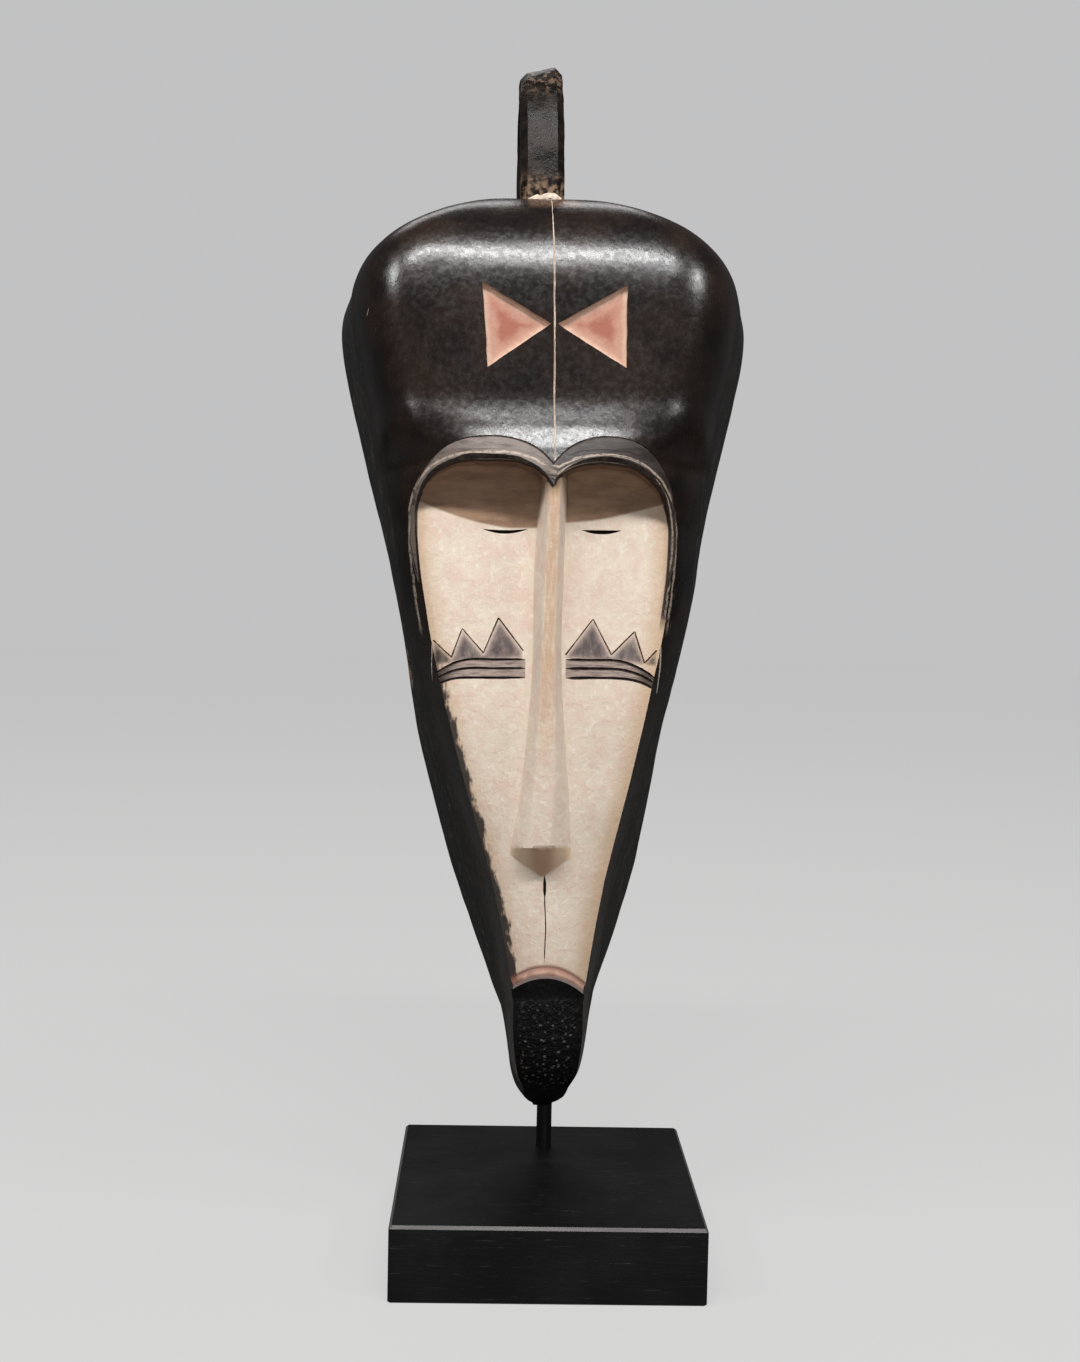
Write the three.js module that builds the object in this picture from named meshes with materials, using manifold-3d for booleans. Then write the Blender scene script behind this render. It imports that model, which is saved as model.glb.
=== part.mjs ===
// A tall hollow wooden helmet mask on its stand. The mask has a swelling black forehead with two
// sunk triangles, a flat white face under two brow arches, a long nose, a lip over a stippled
// chin, and a loop-shaped crest. It hangs on a round rod that stands in a square wooden block.
// Millimetres, +Z up, the face looks along -Y. The origin is the centre of the block's underside.

import * as THREE from 'three';
import { mergeVertices } from 'three/addons/utils/BufferGeometryUtils.js';
import Module from 'manifold-3d';

const wasm = await Module();
wasm.setup();

// Stand
const BASE_SIDE = 150;
const BASE_HEIGHT = 36.8;
const BASE_BEVEL = 1.4;
const ROD_RADIUS = 4;
const ROD_AT = [0.3, 42.2];
const ROD_SINK = 25;
const FIT_GAP = 0.3;

// Place of the mask: its own frame has the open back in the plane y = 0, the face towards -y
// and z = 0 near the tip of the chin. It leans back and turns a little on the rod.
const MASK_FOOT = [-1.5, 37.9, 67];
const MASK_LEAN = THREE.MathUtils.degToRad(5.5);
const MASK_TURN = THREE.MathUtils.degToRad(1.5);
const MASK_ROLL = THREE.MathUtils.degToRad(-0.76);

// Hull of the mask, measured along z and forward from the open back
const CHIN_END = -4.5;
const CROWN_END = 461.7;
const CHIN_ROUND = 40.5;
const CROWN_ROUND = 114.3;
const END_FLAT = 0.2;
const CHIN_POWER = 2.6;
const CROWN_POWER = 4;
const SHOULDER_END = 464;
const SHOULDER_ROUND = 109;
const SHOULDER_POWER = 4.3;
const SHOULDER_ROOT = 1.26;
const CROWN_SKEW = -4;
const SKEW_END = 380;
const CROWN_TAPER = 11.5;
const TAPER_END = 350;

// Face
const FACE_LOW = 8;
const FACE_HIGH = 290;
const FACE_SHOULDER = 285;
const FACE_SKEW = 0.0195;
const RIM_STEP_FROM = 235;
const RIM_STEP_TO = 250;
const CUT_MARGIN = 6;
const CUT_FRONT = 150;
const FACE_LAP = 8;
const BROW_LEFT = { x: -32.5, z: 285, a: 34.5, b: 33, power: 2.8 };
const BROW_RIGHT = { x: 23, z: 285, a: 33, b: 32, power: 2.2 };
const BROW_LINE_LEFT = { x: -31.5, z: 283, a: 38.5, b: 46, power: 2.3 };
const BROW_LINE_RIGHT = { x: 24.5, z: 283, a: 34.5, b: 46, power: 2.2 };
const BROW_MEETING = -1.5;
const EYE_LEFT = { x: -23.6, z: 287.6, width: 22, height: 1.7, sag: 1.5 };
const EYE_RIGHT = { x: 22.6, z: 287.4, width: 19.5, height: 2, sag: 1 };
const EYE_CUT = { from: 60, to: 115 };

// Nose, lip and chin
const NOSE_TIP_X = -4.6;
const NOSE_APEX = 120.5;
const NOSE_FRONT = 135.5;
const NOSE_KEEL = 0.7;
const NOSE_UNDERCUT_TOP = 131.5;
const NOSE_ROUNDING = 1.5;
const LIP_X = -2.2;
const LIP_TOP = 70.5;
const LIP_CURVE = 0.0237;
const LIP_HEIGHT = 5.5;
const LIP_ROLL = 1.2;
const CHIN_DROP = 3;
const CHIN_CUT = { half: 26, low: -8 };
const MOUTH_CRACK = [[-3, 78], [-2.4, 95], [-3.2, 112], [-3.4, 121.5]];
const CRACK_WIDTH = 1;
const CRACK_DEPTH = 2.5;

// Carved lines and sunk triangles
const LINE_WIDTH = 1.5;
const LINE_DEPTH = 1;
const ZIGZAG_WIDTH = 0.7;
const ZIGZAG_DEPTH = 0.7;
const GROOVE = { x: -0.9, low: 317, high: 458 };
const TRIANGLE_DEPTH = 2.8;
const TRIANGLE_LEFT = [[-35.2, 403.4], [-32.3, 362.6], [-2.4, 383.6]];
const TRIANGLE_RIGHT = [[0.5, 383.6], [33.2, 363], [33.9, 402.8]];
const ZIGZAG_LEFT = [[-14.6, 229.7], [-26.5, 245.3], [-33.6, 228.6], [-43.8, 240.2], [-48.9, 226.5],
  [-57.6, 234.6]];
const ZIGZAG_RIGHT = [[5.7, 227.8], [18.8, 245], [27.8, 228], [39, 239.2], [44, 224.1],
  [50, 230.4]];
const BAND_TOP = 225.5;
const BAND_OFFSETS = [0, 4.2, 8.7];
const BAND_NARROWING = 0.35;
const BAND_LEFT = { side: -1, inner: 13.6, outer: 59, bendAt: 38, curl: 0.02 };
const BAND_RIGHT = { side: 1, inner: 5.8, outer: 49.5, bendAt: 26, curl: 0.016 };
const BROW_LINE_ENDS = { heights: [272, 262], from: 255, spread: 0.16 };

// Hollow, holes and crest
const HOLLOW_FROM = 46;
const HOLLOW_TO = 452;
const HOLLOW_DOME = 75;
const HOLLOW_DOME_POWER = 2.6;
const HOLLOW_POWER = 2.5;
const HOLLOW_TOP_SHARE = 0.06;
const HOLLOW_BEHIND = 6;
const HOLLOW_EDGE = 1.5;
const SIDE_HOLE = { x: 72, depth: 21, tall: 7.5, deep: 8.5, reach: 40 };
const SIDE_HOLE_HEIGHTS = { left: 224, right: 230 };
const CREST = { x: -4.2, depth: 38, z: 462, outer: [32, 74.5], inner: [19, 60], half: 11.4 };
const CREST_TILT = 0.2;
const CREST_CHAMFER = 3.6;
const CREST_FOOT = 453;
const SOCKET_TOP = 454;
const GROOVE_FOR_ROD_FROM = 20;

// Halvings by which a place on the hull is found
const DEPTH_HALVINGS = 40;

// Number of steps in which curved surfaces are built
const CHIN_STEPS = 7;
const HULL_STEPS = 34;
const CROWN_STEPS = 14;
const TURN_STEPS = 34;
const TURN_EVENING = 1 / 26;
const CHIN_GRID = 14;
const FACE_STEPS = 10;
const FACE_CROWDING = 1.72;
const FACE_ROWS = 13;
const MOUTH_ROWS = [82, 90, 100, 112];
const ARCH_ROWS = [0.35, 0.7, 1];
const NOSE_UNDERCUT_GAP = 0.5;
const SPRINGING_DROP = 10;
const HOLLOW_TURNS = 18;
const HOLLOW_LOW_ROWS = [50, 56, 66];
const HOLLOW_MIDDLE = { from: 80, to: 400, rows: 14 };
const HOLLOW_HIGH_ROWS = [418, 432, 442, 448.5];
const EYE_STEPS = 8;
const BAND_STEPS = 8;
const BROW_STEPS = 20;
const CREST_STEPS = 22;
const TUBE_STEPS = 24;
const HOLE_STEPS = 16;
const GROOVE_STEPS = 19;

// A smooth curve through a few [place, value] pairs, which never overshoots them.
function curve(pairs) {
  const last = pairs.length - 1;
  const rise = pairs.slice(1).map((p, i) => (p[1] - pairs[i][1]) / (p[0] - pairs[i][0]));
  const slope = pairs.map((p, i) => {
    if (i === 0) return rise[0];
    if (i === last) return rise[last - 1];
    const product = rise[i - 1] * rise[i];
    return product <= 0 ? 0 : (2 * product) / (rise[i - 1] + rise[i]);
  });
  return (place) => {
    const t = clamp(place, pairs[0][0], pairs[last][0]);
    let i = 0;
    while (i < last - 1 && t > pairs[i + 1][0]) i += 1;
    const span = pairs[i + 1][0] - pairs[i][0];
    const s = (t - pairs[i][0]) / span;
    const fromStart = (1 + 2 * s) * (1 - s) ** 2 * pairs[i][1] + s * (1 - s) ** 2 * span * slope[i];
    const fromEnd = s * s * (3 - 2 * s) * pairs[i + 1][1] + s * s * (s - 1) * span * slope[i + 1];
    return fromStart + fromEnd;
  };
}

const clamp = (value, low, high) => Math.min(Math.max(value, low), high);
const mix = (a, b, t) => a + (b - a) * t;
const smoothStep = (low, high, value) => {
  const t = clamp((value - low) / (high - low), 0, 1);
  return t * t * (3 - 2 * t);
};

// Profiles of the hull by height
const rimHalfWidth = curve([[0, 19.4], [29, 19.2], [60, 29], [92, 40], [124, 50], [203, 68],
  [299, 87], [346, 98.4], [400, 111], [440, 122]]);
const rimMiddle = curve([[0, 0], [75, 1.3], [140, 0], [187, -1.5], [250, 1], [330, -0.3],
  [400, 0.3], [470, 0.3]]);
const midDepth = curve([[0, 69], [20, 69.5], [40, 77], [58, 86], [75, 92], [100, 101],
  [130, 111], [165, 116], [205, 119], [250, 121], [290, 124.5], [312, 127.5], [322, 125.3],
  [335, 121], [353, 117.3], [380, 116.5]]);
const squareness = curve([[0, 2.3], [60, 2.5], [130, 2.9], [205, 3.2], [290, 3.2], [316, 3.4],
  [345, 6.8], [390, 6.8]]);

// Profiles of the face, the nose and the chin by height
const faceHalfWidth = curve([[8, 12], [20, 15.8], [40, 17.6], [58, 17.9], [69, 19.2], [99, 24],
  [129, 30.5], [158, 38.3], [201, 48.9], [244, 56.8], [273, 60.4], [290, 61.3]]);
const edgeDepth = curve([[8, 34], [20, 49], [40, 61], [58, 66.5], [69, 70.5], [100, 77.5],
  [130, 82.5], [158, 87.5], [205, 94.5], [250, 99.5], [290, 103.5]]);
const faceDepth = curve([[60, 73.5], [75, 77], [100, 82], [130, 87.5], [165, 93.5],
  [205, 98.5], [250, 102], [290, 104.5], [320, 106]]);
const faceDrop = curve([[60, 5], [130, 5], [205, 4], [300, 3]]);
const chinDepth = curve([[-14, 0], [-2, 15], [5, 31], [10, 41], [20, 53], [40, 64], [60, 69.5],
  [76, 72]]);
const noseMiddle = curve([[135, -5.3], [168, -3.6], [235, -3.1], [265, -2.6], [311, -0.2]]);
const noseHalfWidth = curve([[135, 14.7], [168, 11], [235, 6.8], [265, 7.1], [311, 6]]);
const ridgeMiddle = curve([[135, -6.6], [168, -4.4], [235, -3], [311, -0.8]]);
const ridgeHalfWidth = curve([[135, 5], [168, 4.2], [235, 3], [300, 2.4]]);
const ridgeDepth = curve([[135, 97.8], [165, 103.5], [235, 113.5], [305, 122.5], [320, 124]]);

// Profiles of the hollow
const hollowDepth = curve([[46, 24], [60, 38], [90, 55], [130, 68], [200, 82], [290, 92],
  [340, 99], [400, 98], [452, 96]]);
const hollowWall = curve([[46, 12], [100, 12.5], [300, 13], [452, 14]]);

// Share of the full section left where the chin and the crown round off
function chinRounding(z) {
  const t = clamp((CHIN_END + CHIN_ROUND - z) / CHIN_ROUND, 0, 1);
  return (1 - t ** CHIN_POWER) ** (1 / CHIN_POWER);
}

function crownRounding(z) {
  const t = clamp((z - CROWN_END + CROWN_ROUND) / CROWN_ROUND, 0, 1);
  return (1 - t ** CROWN_POWER) ** (1 / CROWN_POWER);
}

function shoulderRounding(z) {
  const t = clamp((z - SHOULDER_END + SHOULDER_ROUND) / SHOULDER_ROUND, 0, 1);
  return (1 - t ** SHOULDER_POWER) ** (1 / SHOULDER_ROOT);
}

const halfWidth = (z) => rimHalfWidth(z) * chinRounding(z) * shoulderRounding(z);
const fullDepth = (z) => midDepth(z) * chinRounding(z) * crownRounding(z);

const faceMiddle = (z) => -1 - FACE_SKEW * (Math.min(z, FACE_SHOULDER) - 70);

// How much narrower the hull is in front than at the back, so that it meets the face's edge.
// The forehead narrows a little more, to a flat front with sides that slope back.
function taper(z) {
  const at = clamp(z, FACE_LOW, FACE_HIGH);
  const forward = edgeDepth(at) / fullDepth(at);
  const side = (1 - forward ** squareness(at)) ** (1 / squareness(at));
  const full = (halfWidth(at) - faceHalfWidth(at) / side) / forward;
  const crown = CROWN_TAPER * smoothStep(FACE_HIGH, TAPER_END, z);
  return full * Math.min(halfWidth(z) / halfWidth(at), 1)
    + crown * Math.min(halfWidth(z) / halfWidth(TAPER_END), 1);
}

// Sideways shift of the hull's front against its rim
const frontSkew = (z) => (
  mix(faceMiddle(Math.max(z, FACE_LOW)), CROWN_SKEW, smoothStep(FACE_HIGH, SKEW_END, z)));

// Point of the hull at a height, by the turn around the section: 0 is right, half is front
function hullPoint(z, turn) {
  const angle = turn * Math.PI;
  const power = squareness(z);
  const side = Math.sign(Math.cos(angle)) * Math.abs(Math.cos(angle)) ** (2 / power);
  const forward = Math.abs(Math.sin(angle)) ** (2 / power);
  const x = side * (halfWidth(z) - taper(z) * forward) + mix(rimMiddle(z), frontSkew(z), forward);
  return [x, -fullDepth(z) * forward, z];
}

// Depth of the hull's front at a place seen from the front
function hullDepth(x, z) {
  let low = 0;
  let high = 0.5;
  const right = x > hullPoint(z, 0.5)[0];
  for (let i = 0; i < DEPTH_HALVINGS; i += 1) {
    const half = (low + high) / 2;
    const reach = hullPoint(z, right ? half : 1 - half)[0];
    if (right ? reach > x : reach < x) low = half;
    else high = half;
  }
  return -hullPoint(z, high)[1];
}

const lipEdge = (x) => LIP_TOP - LIP_CURVE * (x - LIP_X) ** 2;
const noseApex = (x) => (
  Math.min(NOSE_APEX + NOSE_KEEL * Math.abs(x - NOSE_TIP_X), NOSE_UNDERCUT_TOP));

// Depth of the white face, with the nose and the rolled lip
function faceSurface(x, z) {
  const across = (x - faceMiddle(z)) / faceHalfWidth(z);
  const plane = faceDepth(z) - faceDrop(z) * across * across;
  const ridge = ridgeMiddle(z);
  const flat = ridgeHalfWidth(z);
  const way = x < ridge ? -1 : 1;
  const reach = noseHalfWidth(z) + way * (noseMiddle(z) - ridge);
  const down = clamp((Math.abs(x - ridge) - flat) / (reach - flat), 0, 1);
  const slope = 1 - down ** NOSE_ROUNDING;
  const start = noseApex(x);
  const swell = clamp((z - start) / (NOSE_FRONT - start), 0, 1);
  const aboveLip = (z - lipEdge(x)) / LIP_HEIGHT;
  const roll = aboveLip > 0 && aboveLip < 1 ? LIP_ROLL * Math.sin(Math.PI * aboveLip) : 0;
  return plane + (ridgeDepth(z) - plane) * slope * swell + roll;
}

function chinSurface(x, z) {
  const across = (x - faceMiddle(z)) / faceHalfWidth(z);
  return chinDepth(z) - CHIN_DROP * across * across;
}

// Height of an arch over a place, or its springing height outside it
function archTop(arch, x) {
  const across = clamp(Math.abs(x - arch.x) / arch.a, 0, 1);
  return arch.z + arch.b * (1 - across ** arch.power) ** (1 / arch.power);
}
const browEdge = (x) => (x < BROW_MEETING ? archTop(BROW_LEFT, x) : archTop(BROW_RIGHT, x));

// Turns a grid of points [row][column] that closes around each row into a solid geometry,
// with its two end rows filled by a fan.
function ringSolid(rows) {
  const positions = rows.flat(2);
  const across = rows[0].length;
  const index = [];
  for (let r = 0; r < rows.length - 1; r += 1) {
    for (let c = 0; c < across; c += 1) {
      const next = (c + 1) % across;
      const a = r * across + c;
      const b = r * across + next;
      index.push(a, b, a + across, b, b + across, a + across);
    }
  }
  const top = (rows.length - 1) * across;
  for (let c = 1; c < across - 1; c += 1) {
    index.push(0, c + 1, c);
    index.push(top, top + c, top + c + 1);
  }
  const geometry = new THREE.BufferGeometry();
  geometry.setAttribute('position', new THREE.Float32BufferAttribute(positions, 3));
  geometry.setIndex(index);
  return geometry;
}

// Turns two grids with the same rows and columns, one behind the other, into a slab.
function slabSolid(back, front) {
  const rows = back.length;
  const columns = back[0].length;
  const index = [];
  const cell = (r, c) => r * columns + c;
  const shift = rows * columns;
  for (let r = 0; r < rows - 1; r += 1) {
    for (let c = 0; c < columns - 1; c += 1) {
      const [a, b, d, e] = [cell(r, c), cell(r, c + 1), cell(r + 1, c), cell(r + 1, c + 1)];
      index.push(a, d, b, b, d, e);
      index.push(a + shift, b + shift, d + shift, b + shift, e + shift, d + shift);
    }
  }
  const wall = (a, b) => index.push(a, b, a + shift, b, b + shift, a + shift);
  for (let c = 0; c < columns - 1; c += 1) {
    wall(cell(0, c), cell(0, c + 1));
    wall(cell(rows - 1, c + 1), cell(rows - 1, c));
  }
  for (let r = 0; r < rows - 1; r += 1) {
    wall(cell(r + 1, 0), cell(r, 0));
    wall(cell(r, columns - 1), cell(r + 1, columns - 1));
  }
  const geometry = new THREE.BufferGeometry();
  geometry.setAttribute('position', new THREE.Float32BufferAttribute([back, front].flat(3), 3));
  geometry.setIndex(index);
  return geometry;
}

// A closed geometry as a solid that can be joined and cut
function solid(geometry) {
  const bare = geometry.clone();
  bare.deleteAttribute('normal');
  bare.deleteAttribute('uv');
  const merged = mergeVertices(bare, 1e-4);
  return new wasm.Manifold(new wasm.Mesh({
    numProp: 3,
    vertProperties: new Float32Array(merged.attributes.position.array),
    triVerts: new Uint32Array(merged.index.array),
  }));
}

function geometryOf(body) {
  const mesh = body.getMesh();
  const geometry = new THREE.BufferGeometry();
  geometry.setAttribute('position', new THREE.Float32BufferAttribute(mesh.vertProperties, 3));
  geometry.setIndex(Array.from(mesh.triVerts));
  geometry.computeVertexNormals();
  return geometry;
}

const range = (count) => Array.from({ length: count + 1 }, (_, i) => i / count);

// Heights with closer steps where the chin and the crown round off
function hullHeights() {
  const lower = CHIN_END + CHIN_ROUND;
  const upper = CROWN_END - CROWN_ROUND;
  const chin = range(CHIN_STEPS).slice(1).map((t) => lower - CHIN_ROUND * Math.cos(t * Math.PI / 2));
  const middle = range(HULL_STEPS).slice(1).map((t) => mix(lower, upper, t));
  const crown = range(CROWN_STEPS).slice(1, -1)
    .map((t) => upper + CROWN_ROUND * Math.sin(t * Math.PI / 2));
  return [CHIN_END + END_FLAT, ...chin, ...middle, ...crown, CROWN_END - END_FLAT];
}

function hullSolid() {
  const turns = range(TURN_STEPS).map((t) => 1 - t + Math.sin(2 * Math.PI * t) * TURN_EVENING);
  return solid(ringSolid(hullHeights().map((z) => turns.map((t) => hullPoint(z, t)))));
}

// Places of the columns across the face at a height: closer at its edges and around the nose
function faceColumns(z) {
  const at = Math.min(z, FACE_SHOULDER);
  const margin = CUT_MARGIN * (1 - smoothStep(RIM_STEP_FROM, RIM_STEP_TO, at));
  const left = faceMiddle(at) - faceHalfWidth(at) - margin;
  const right = faceMiddle(at) + faceHalfWidth(at) + margin;
  const foot = noseMiddle(at);
  const wing = noseHalfWidth(at);
  const ridge = ridgeMiddle(at);
  const flat = ridgeHalfWidth(at);
  const spread = range(FACE_STEPS).slice(0, -1).map((t) => t ** FACE_CROWDING);
  return [
    ...spread.map((t) => mix(left, foot - wing, t)),
    foot - wing,
    (foot - wing + ridge - flat) / 2,
    ridge - flat,
    ridge,
    ridge + flat,
    (foot + wing + ridge + flat) / 2,
    foot + wing,
    ...spread.map((t) => mix(right, foot + wing, t)).reverse(),
  ];
}

// The rows follow the lip, the mouth, the nose's underside, the nose and then the brow arches.
function faceCutter() {
  const count = faceColumns(FACE_LOW).length;
  const springing = FACE_SHOULDER - SPRINGING_DROP;
  const levels = [
    (x) => lipEdge(x) - FACE_LAP,
    (x) => lipEdge(x),
    (x) => lipEdge(x) + LIP_HEIGHT / 2,
    (x) => lipEdge(x) + LIP_HEIGHT,
    ...MOUTH_ROWS.map((z) => () => z),
    (x) => noseApex(x) - NOSE_UNDERCUT_GAP,
    ...range(FACE_ROWS).map((t) => () => mix(NOSE_FRONT, springing, t)),
    ...ARCH_ROWS.map((t) => (x) => mix(springing, browEdge(x), t)),
  ];
  const grid = (depthAt) => levels.map((level) => Array.from({ length: count }, (_, c) => {
    const guess = faceColumns(level(0))[c];
    const z = level(faceColumns(level(guess))[c]);
    const x = faceColumns(z)[c];
    return [x, -depthAt(x, z), z];
  }));
  return solid(slabSolid(grid(faceSurface), grid(() => CUT_FRONT)));
}

function chinCutter() {
  const grid = (depthAt) => range(CHIN_GRID).map((v) => range(CHIN_GRID).map((u) => {
    const x = LIP_X + mix(-CHIN_CUT.half, CHIN_CUT.half, u);
    const z = mix(CHIN_CUT.low, lipEdge(x), v);
    return [x, -depthAt(x, z), z];
  }));
  return solid(slabSolid(grid(chinSurface), grid(() => CUT_FRONT)));
}

function hollowSolid() {
  const turns = range(HOLLOW_TURNS);
  const middle = range(HOLLOW_MIDDLE.rows).map((t) => mix(HOLLOW_MIDDLE.from, HOLLOW_MIDDLE.to, t));
  const heights = [HOLLOW_FROM, ...HOLLOW_LOW_ROWS, ...middle, ...HOLLOW_HIGH_ROWS, HOLLOW_TO];
  return solid(ringSolid(heights.map((z) => {
    const fade = smoothStep(HOLLOW_TO - HOLLOW_DOME, HOLLOW_TO, z);
    const dome = (1 - fade ** HOLLOW_DOME_POWER) ** (1 / HOLLOW_DOME_POWER);
    const close = mix(dome, 1, HOLLOW_TOP_SHARE);
    const half = (rimHalfWidth(z) - hollowWall(z)) * close;
    const deep = hollowDepth(z) * close;
    const arc = turns.map((t) => {
      const angle = (1 - t) * Math.PI;
      const side = Math.sign(Math.cos(angle)) * Math.abs(Math.cos(angle)) ** (2 / HOLLOW_POWER);
      const forward = Math.abs(Math.sin(angle)) ** (2 / HOLLOW_POWER);
      return [side * half, -mix(HOLLOW_EDGE, deep, forward), z];
    });
    return [[-half, HOLLOW_BEHIND, z], ...arc, [half, HOLLOW_BEHIND, z]];
  })));
}

// A straight-walled cutter with an outline seen from the front, from one depth to another
function frontCutter(outline, from, to) {
  const layer = (depth) => outline.map(([x, z]) => [x, -depth, z]);
  return solid(ringSolid([layer(from), layer(to)]));
}

function eyeCutter(eye) {
  const steps = range(EYE_STEPS);
  const edge = (share) => steps.map((t) => {
    const u = 2 * t - 1;
    const lens = 1 - u * u;
    return [eye.x + u * eye.width / 2, eye.z - eye.sag * lens + share * eye.height * lens / 2];
  });
  const upper = edge(1);
  const lower = edge(-1).slice(1, -1).reverse();
  return frontCutter([...upper, ...lower].reverse(), EYE_CUT.from, EYE_CUT.to);
}

function triangleCutter(corners) {
  const inner = corners.map(([x, z]) => [x, -(hullDepth(x, z) - TRIANGLE_DEPTH), z]);
  const outer = corners.map(([x, z]) => [x, -CUT_FRONT, z]);
  return solid(ringSolid([inner, outer]));
}

// A V-shaped cut along a line of places seen from the front, on a surface of the mask
function lineCutter(line, depthAt, width = LINE_WIDTH, depth = LINE_DEPTH) {
  const rows = line.map(([x, z], i) => {
    const before = line[Math.max(i - 1, 0)];
    const after = line[Math.min(i + 1, line.length - 1)];
    const run = Math.hypot(after[0] - before[0], after[1] - before[1]);
    const acrossX = -(after[1] - before[1]) / run;
    const acrossZ = (after[0] - before[0]) / run;
    const surface = depthAt(x, z);
    const flare = 1 + 1 / depth;
    const half = flare * width / 2;
    return [
      [x, -(surface - depth), z],
      [x + acrossX * half, -(surface + 1), z + acrossZ * half],
      [x - acrossX * half, -(surface + 1), z - acrossZ * half],
    ];
  });
  return solid(ringSolid(rows));
}

function bandLine(band, offset) {
  return range(BAND_STEPS).map((t) => {
    const x = mix(band.inner, band.outer, t);
    const down = band.curl * Math.max(x - band.bendAt, 0) ** 2;
    const narrowing = BAND_NARROWING * smoothStep(band.bendAt, band.outer, x);
    return [band.side * x, BAND_TOP - down - offset * (1 - narrowing)];
  });
}

// A line that runs from left to right
const sameWay = (line) => (line[0][0] < line[line.length - 1][0] ? line : [...line].reverse());

// The incised line over a brow, from where the brows meet out and down to beside the eye
function browLine(arch, side) {
  const meeting = Math.acos((BROW_MEETING - arch.x) / arch.a);
  const springing = side < 0 ? Math.PI : 0;
  const over = range(BROW_STEPS).map((t) => {
    const x = arch.x + arch.a * Math.cos(mix(meeting, springing, t));
    return [x, archTop(arch, x)];
  });
  const down = BROW_LINE_ENDS.heights.map((z) => {
    const outside = (z - BROW_LINE_ENDS.from) * BROW_LINE_ENDS.spread;
    return [faceMiddle(z) + side * (faceHalfWidth(z) + outside), z];
  });
  return [...over, ...down];
}

function crestSolid() {
  const { x, depth, z, outer, inner, half } = CREST;
  const thick = outer[0] - inner[0];
  const section = [[half, 0], [-half, 0], [-half, thick - CREST_CHAMFER],
    [-half + CREST_CHAMFER, thick], [half - CREST_CHAMFER, thick], [half, thick - CREST_CHAMFER]];
  const ring = (angle, drop) => section.map(([across, out]) => [
    x + across,
    -(depth + (inner[0] + out) * Math.cos(angle)),
    z + (inner[1] + out + CREST_TILT * across) * Math.sin(angle) - drop,
  ]);
  const drop = z - CREST_FOOT;
  const arch = range(CREST_STEPS).map((t) => ring(t * Math.PI, 0));
  return solid(ringSolid([ring(0, drop), ...arch, ring(Math.PI, drop)]));
}

function rodClearance(toMask) {
  const top = rodTop() + FIT_GAP;
  const length = top - GROOVE_FOR_ROD_FROM;
  const radius = ROD_RADIUS + FIT_GAP;
  const tube = new THREE.CylinderGeometry(radius, radius, length, TUBE_STEPS);
  tube.rotateX(Math.PI / 2);
  tube.translate(ROD_AT[0], ROD_AT[1], top - length / 2);
  tube.applyMatrix4(toMask);
  return solid(tube);
}

const maskPlace = new THREE.Group();
maskPlace.position.set(...MASK_FOOT);
maskPlace.rotation.set(-MASK_LEAN, MASK_ROLL, MASK_TURN, 'ZXY');
maskPlace.updateMatrix();

// Height at which the rod ends, in the socket under the crown
function rodTop() {
  const toMask = maskPlace.matrix.clone().invert();
  const low = new THREE.Vector3(ROD_AT[0], ROD_AT[1], 0).applyMatrix4(toMask).z;
  const high = new THREE.Vector3(ROD_AT[0], ROD_AT[1], 1).applyMatrix4(toMask).z;
  return (SOCKET_TOP - low) / (high - low);
}

function sideHoleCutter(side, height) {
  const { x, depth, tall, deep, reach } = SIDE_HOLE;
  const hole = new THREE.CylinderGeometry(1, 1, reach, HOLE_STEPS);
  hole.rotateZ(Math.PI / 2);
  hole.scale(1, deep, tall);
  hole.translate(side * x, -depth, height);
  return solid(hole);
}

// The groove down the middle of the forehead, with closer steps where the crown rounds off
function medianGroove() {
  return range(GROOVE_STEPS).map((t) => (
    [GROOVE.x, mix(GROOVE.low, GROOVE.high, Math.sin(t * Math.PI / 2))]));
}

function maskSolid() {
  const lines = [
    lineCutter(medianGroove(), hullDepth),
    lineCutter(sameWay(browLine(BROW_LINE_LEFT, -1)), hullDepth),
    lineCutter(sameWay(browLine(BROW_LINE_RIGHT, 1)), hullDepth),
    lineCutter(MOUTH_CRACK, faceSurface, CRACK_WIDTH, CRACK_DEPTH),
    ...[BAND_LEFT, BAND_RIGHT].flatMap((band) => BAND_OFFSETS.map((offset) => (
      lineCutter(sameWay(bandLine(band, offset)), faceSurface)))),
    ...[ZIGZAG_LEFT, ZIGZAG_RIGHT].map((line) => (
      lineCutter(sameWay(line), faceSurface, ZIGZAG_WIDTH, ZIGZAG_DEPTH))),
  ];
  const cuts = [
    faceCutter(),
    chinCutter(),
    triangleCutter(TRIANGLE_LEFT),
    triangleCutter(TRIANGLE_RIGHT),
    eyeCutter(EYE_LEFT),
    eyeCutter(EYE_RIGHT),
  ];
  const open = [
    hollowSolid(),
    sideHoleCutter(-1, SIDE_HOLE_HEIGHTS.left),
    sideHoleCutter(1, SIDE_HOLE_HEIGHTS.right),
    rodClearance(maskPlace.matrix.clone().invert()),
  ];
  let body = hullSolid();
  for (const cut of cuts) body = body.subtract(cut);
  body = body.add(crestSolid());
  for (const cut of [...open, ...lines]) body = body.subtract(cut);
  return body;
}

const mask = new THREE.Mesh(
  geometryOf(maskSolid()),
  new THREE.MeshStandardMaterial({ color: 0x2a1d17, roughness: 0.45, metalness: 0 }),
);
mask.name = 'mask';
maskPlace.add(mask);

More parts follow.
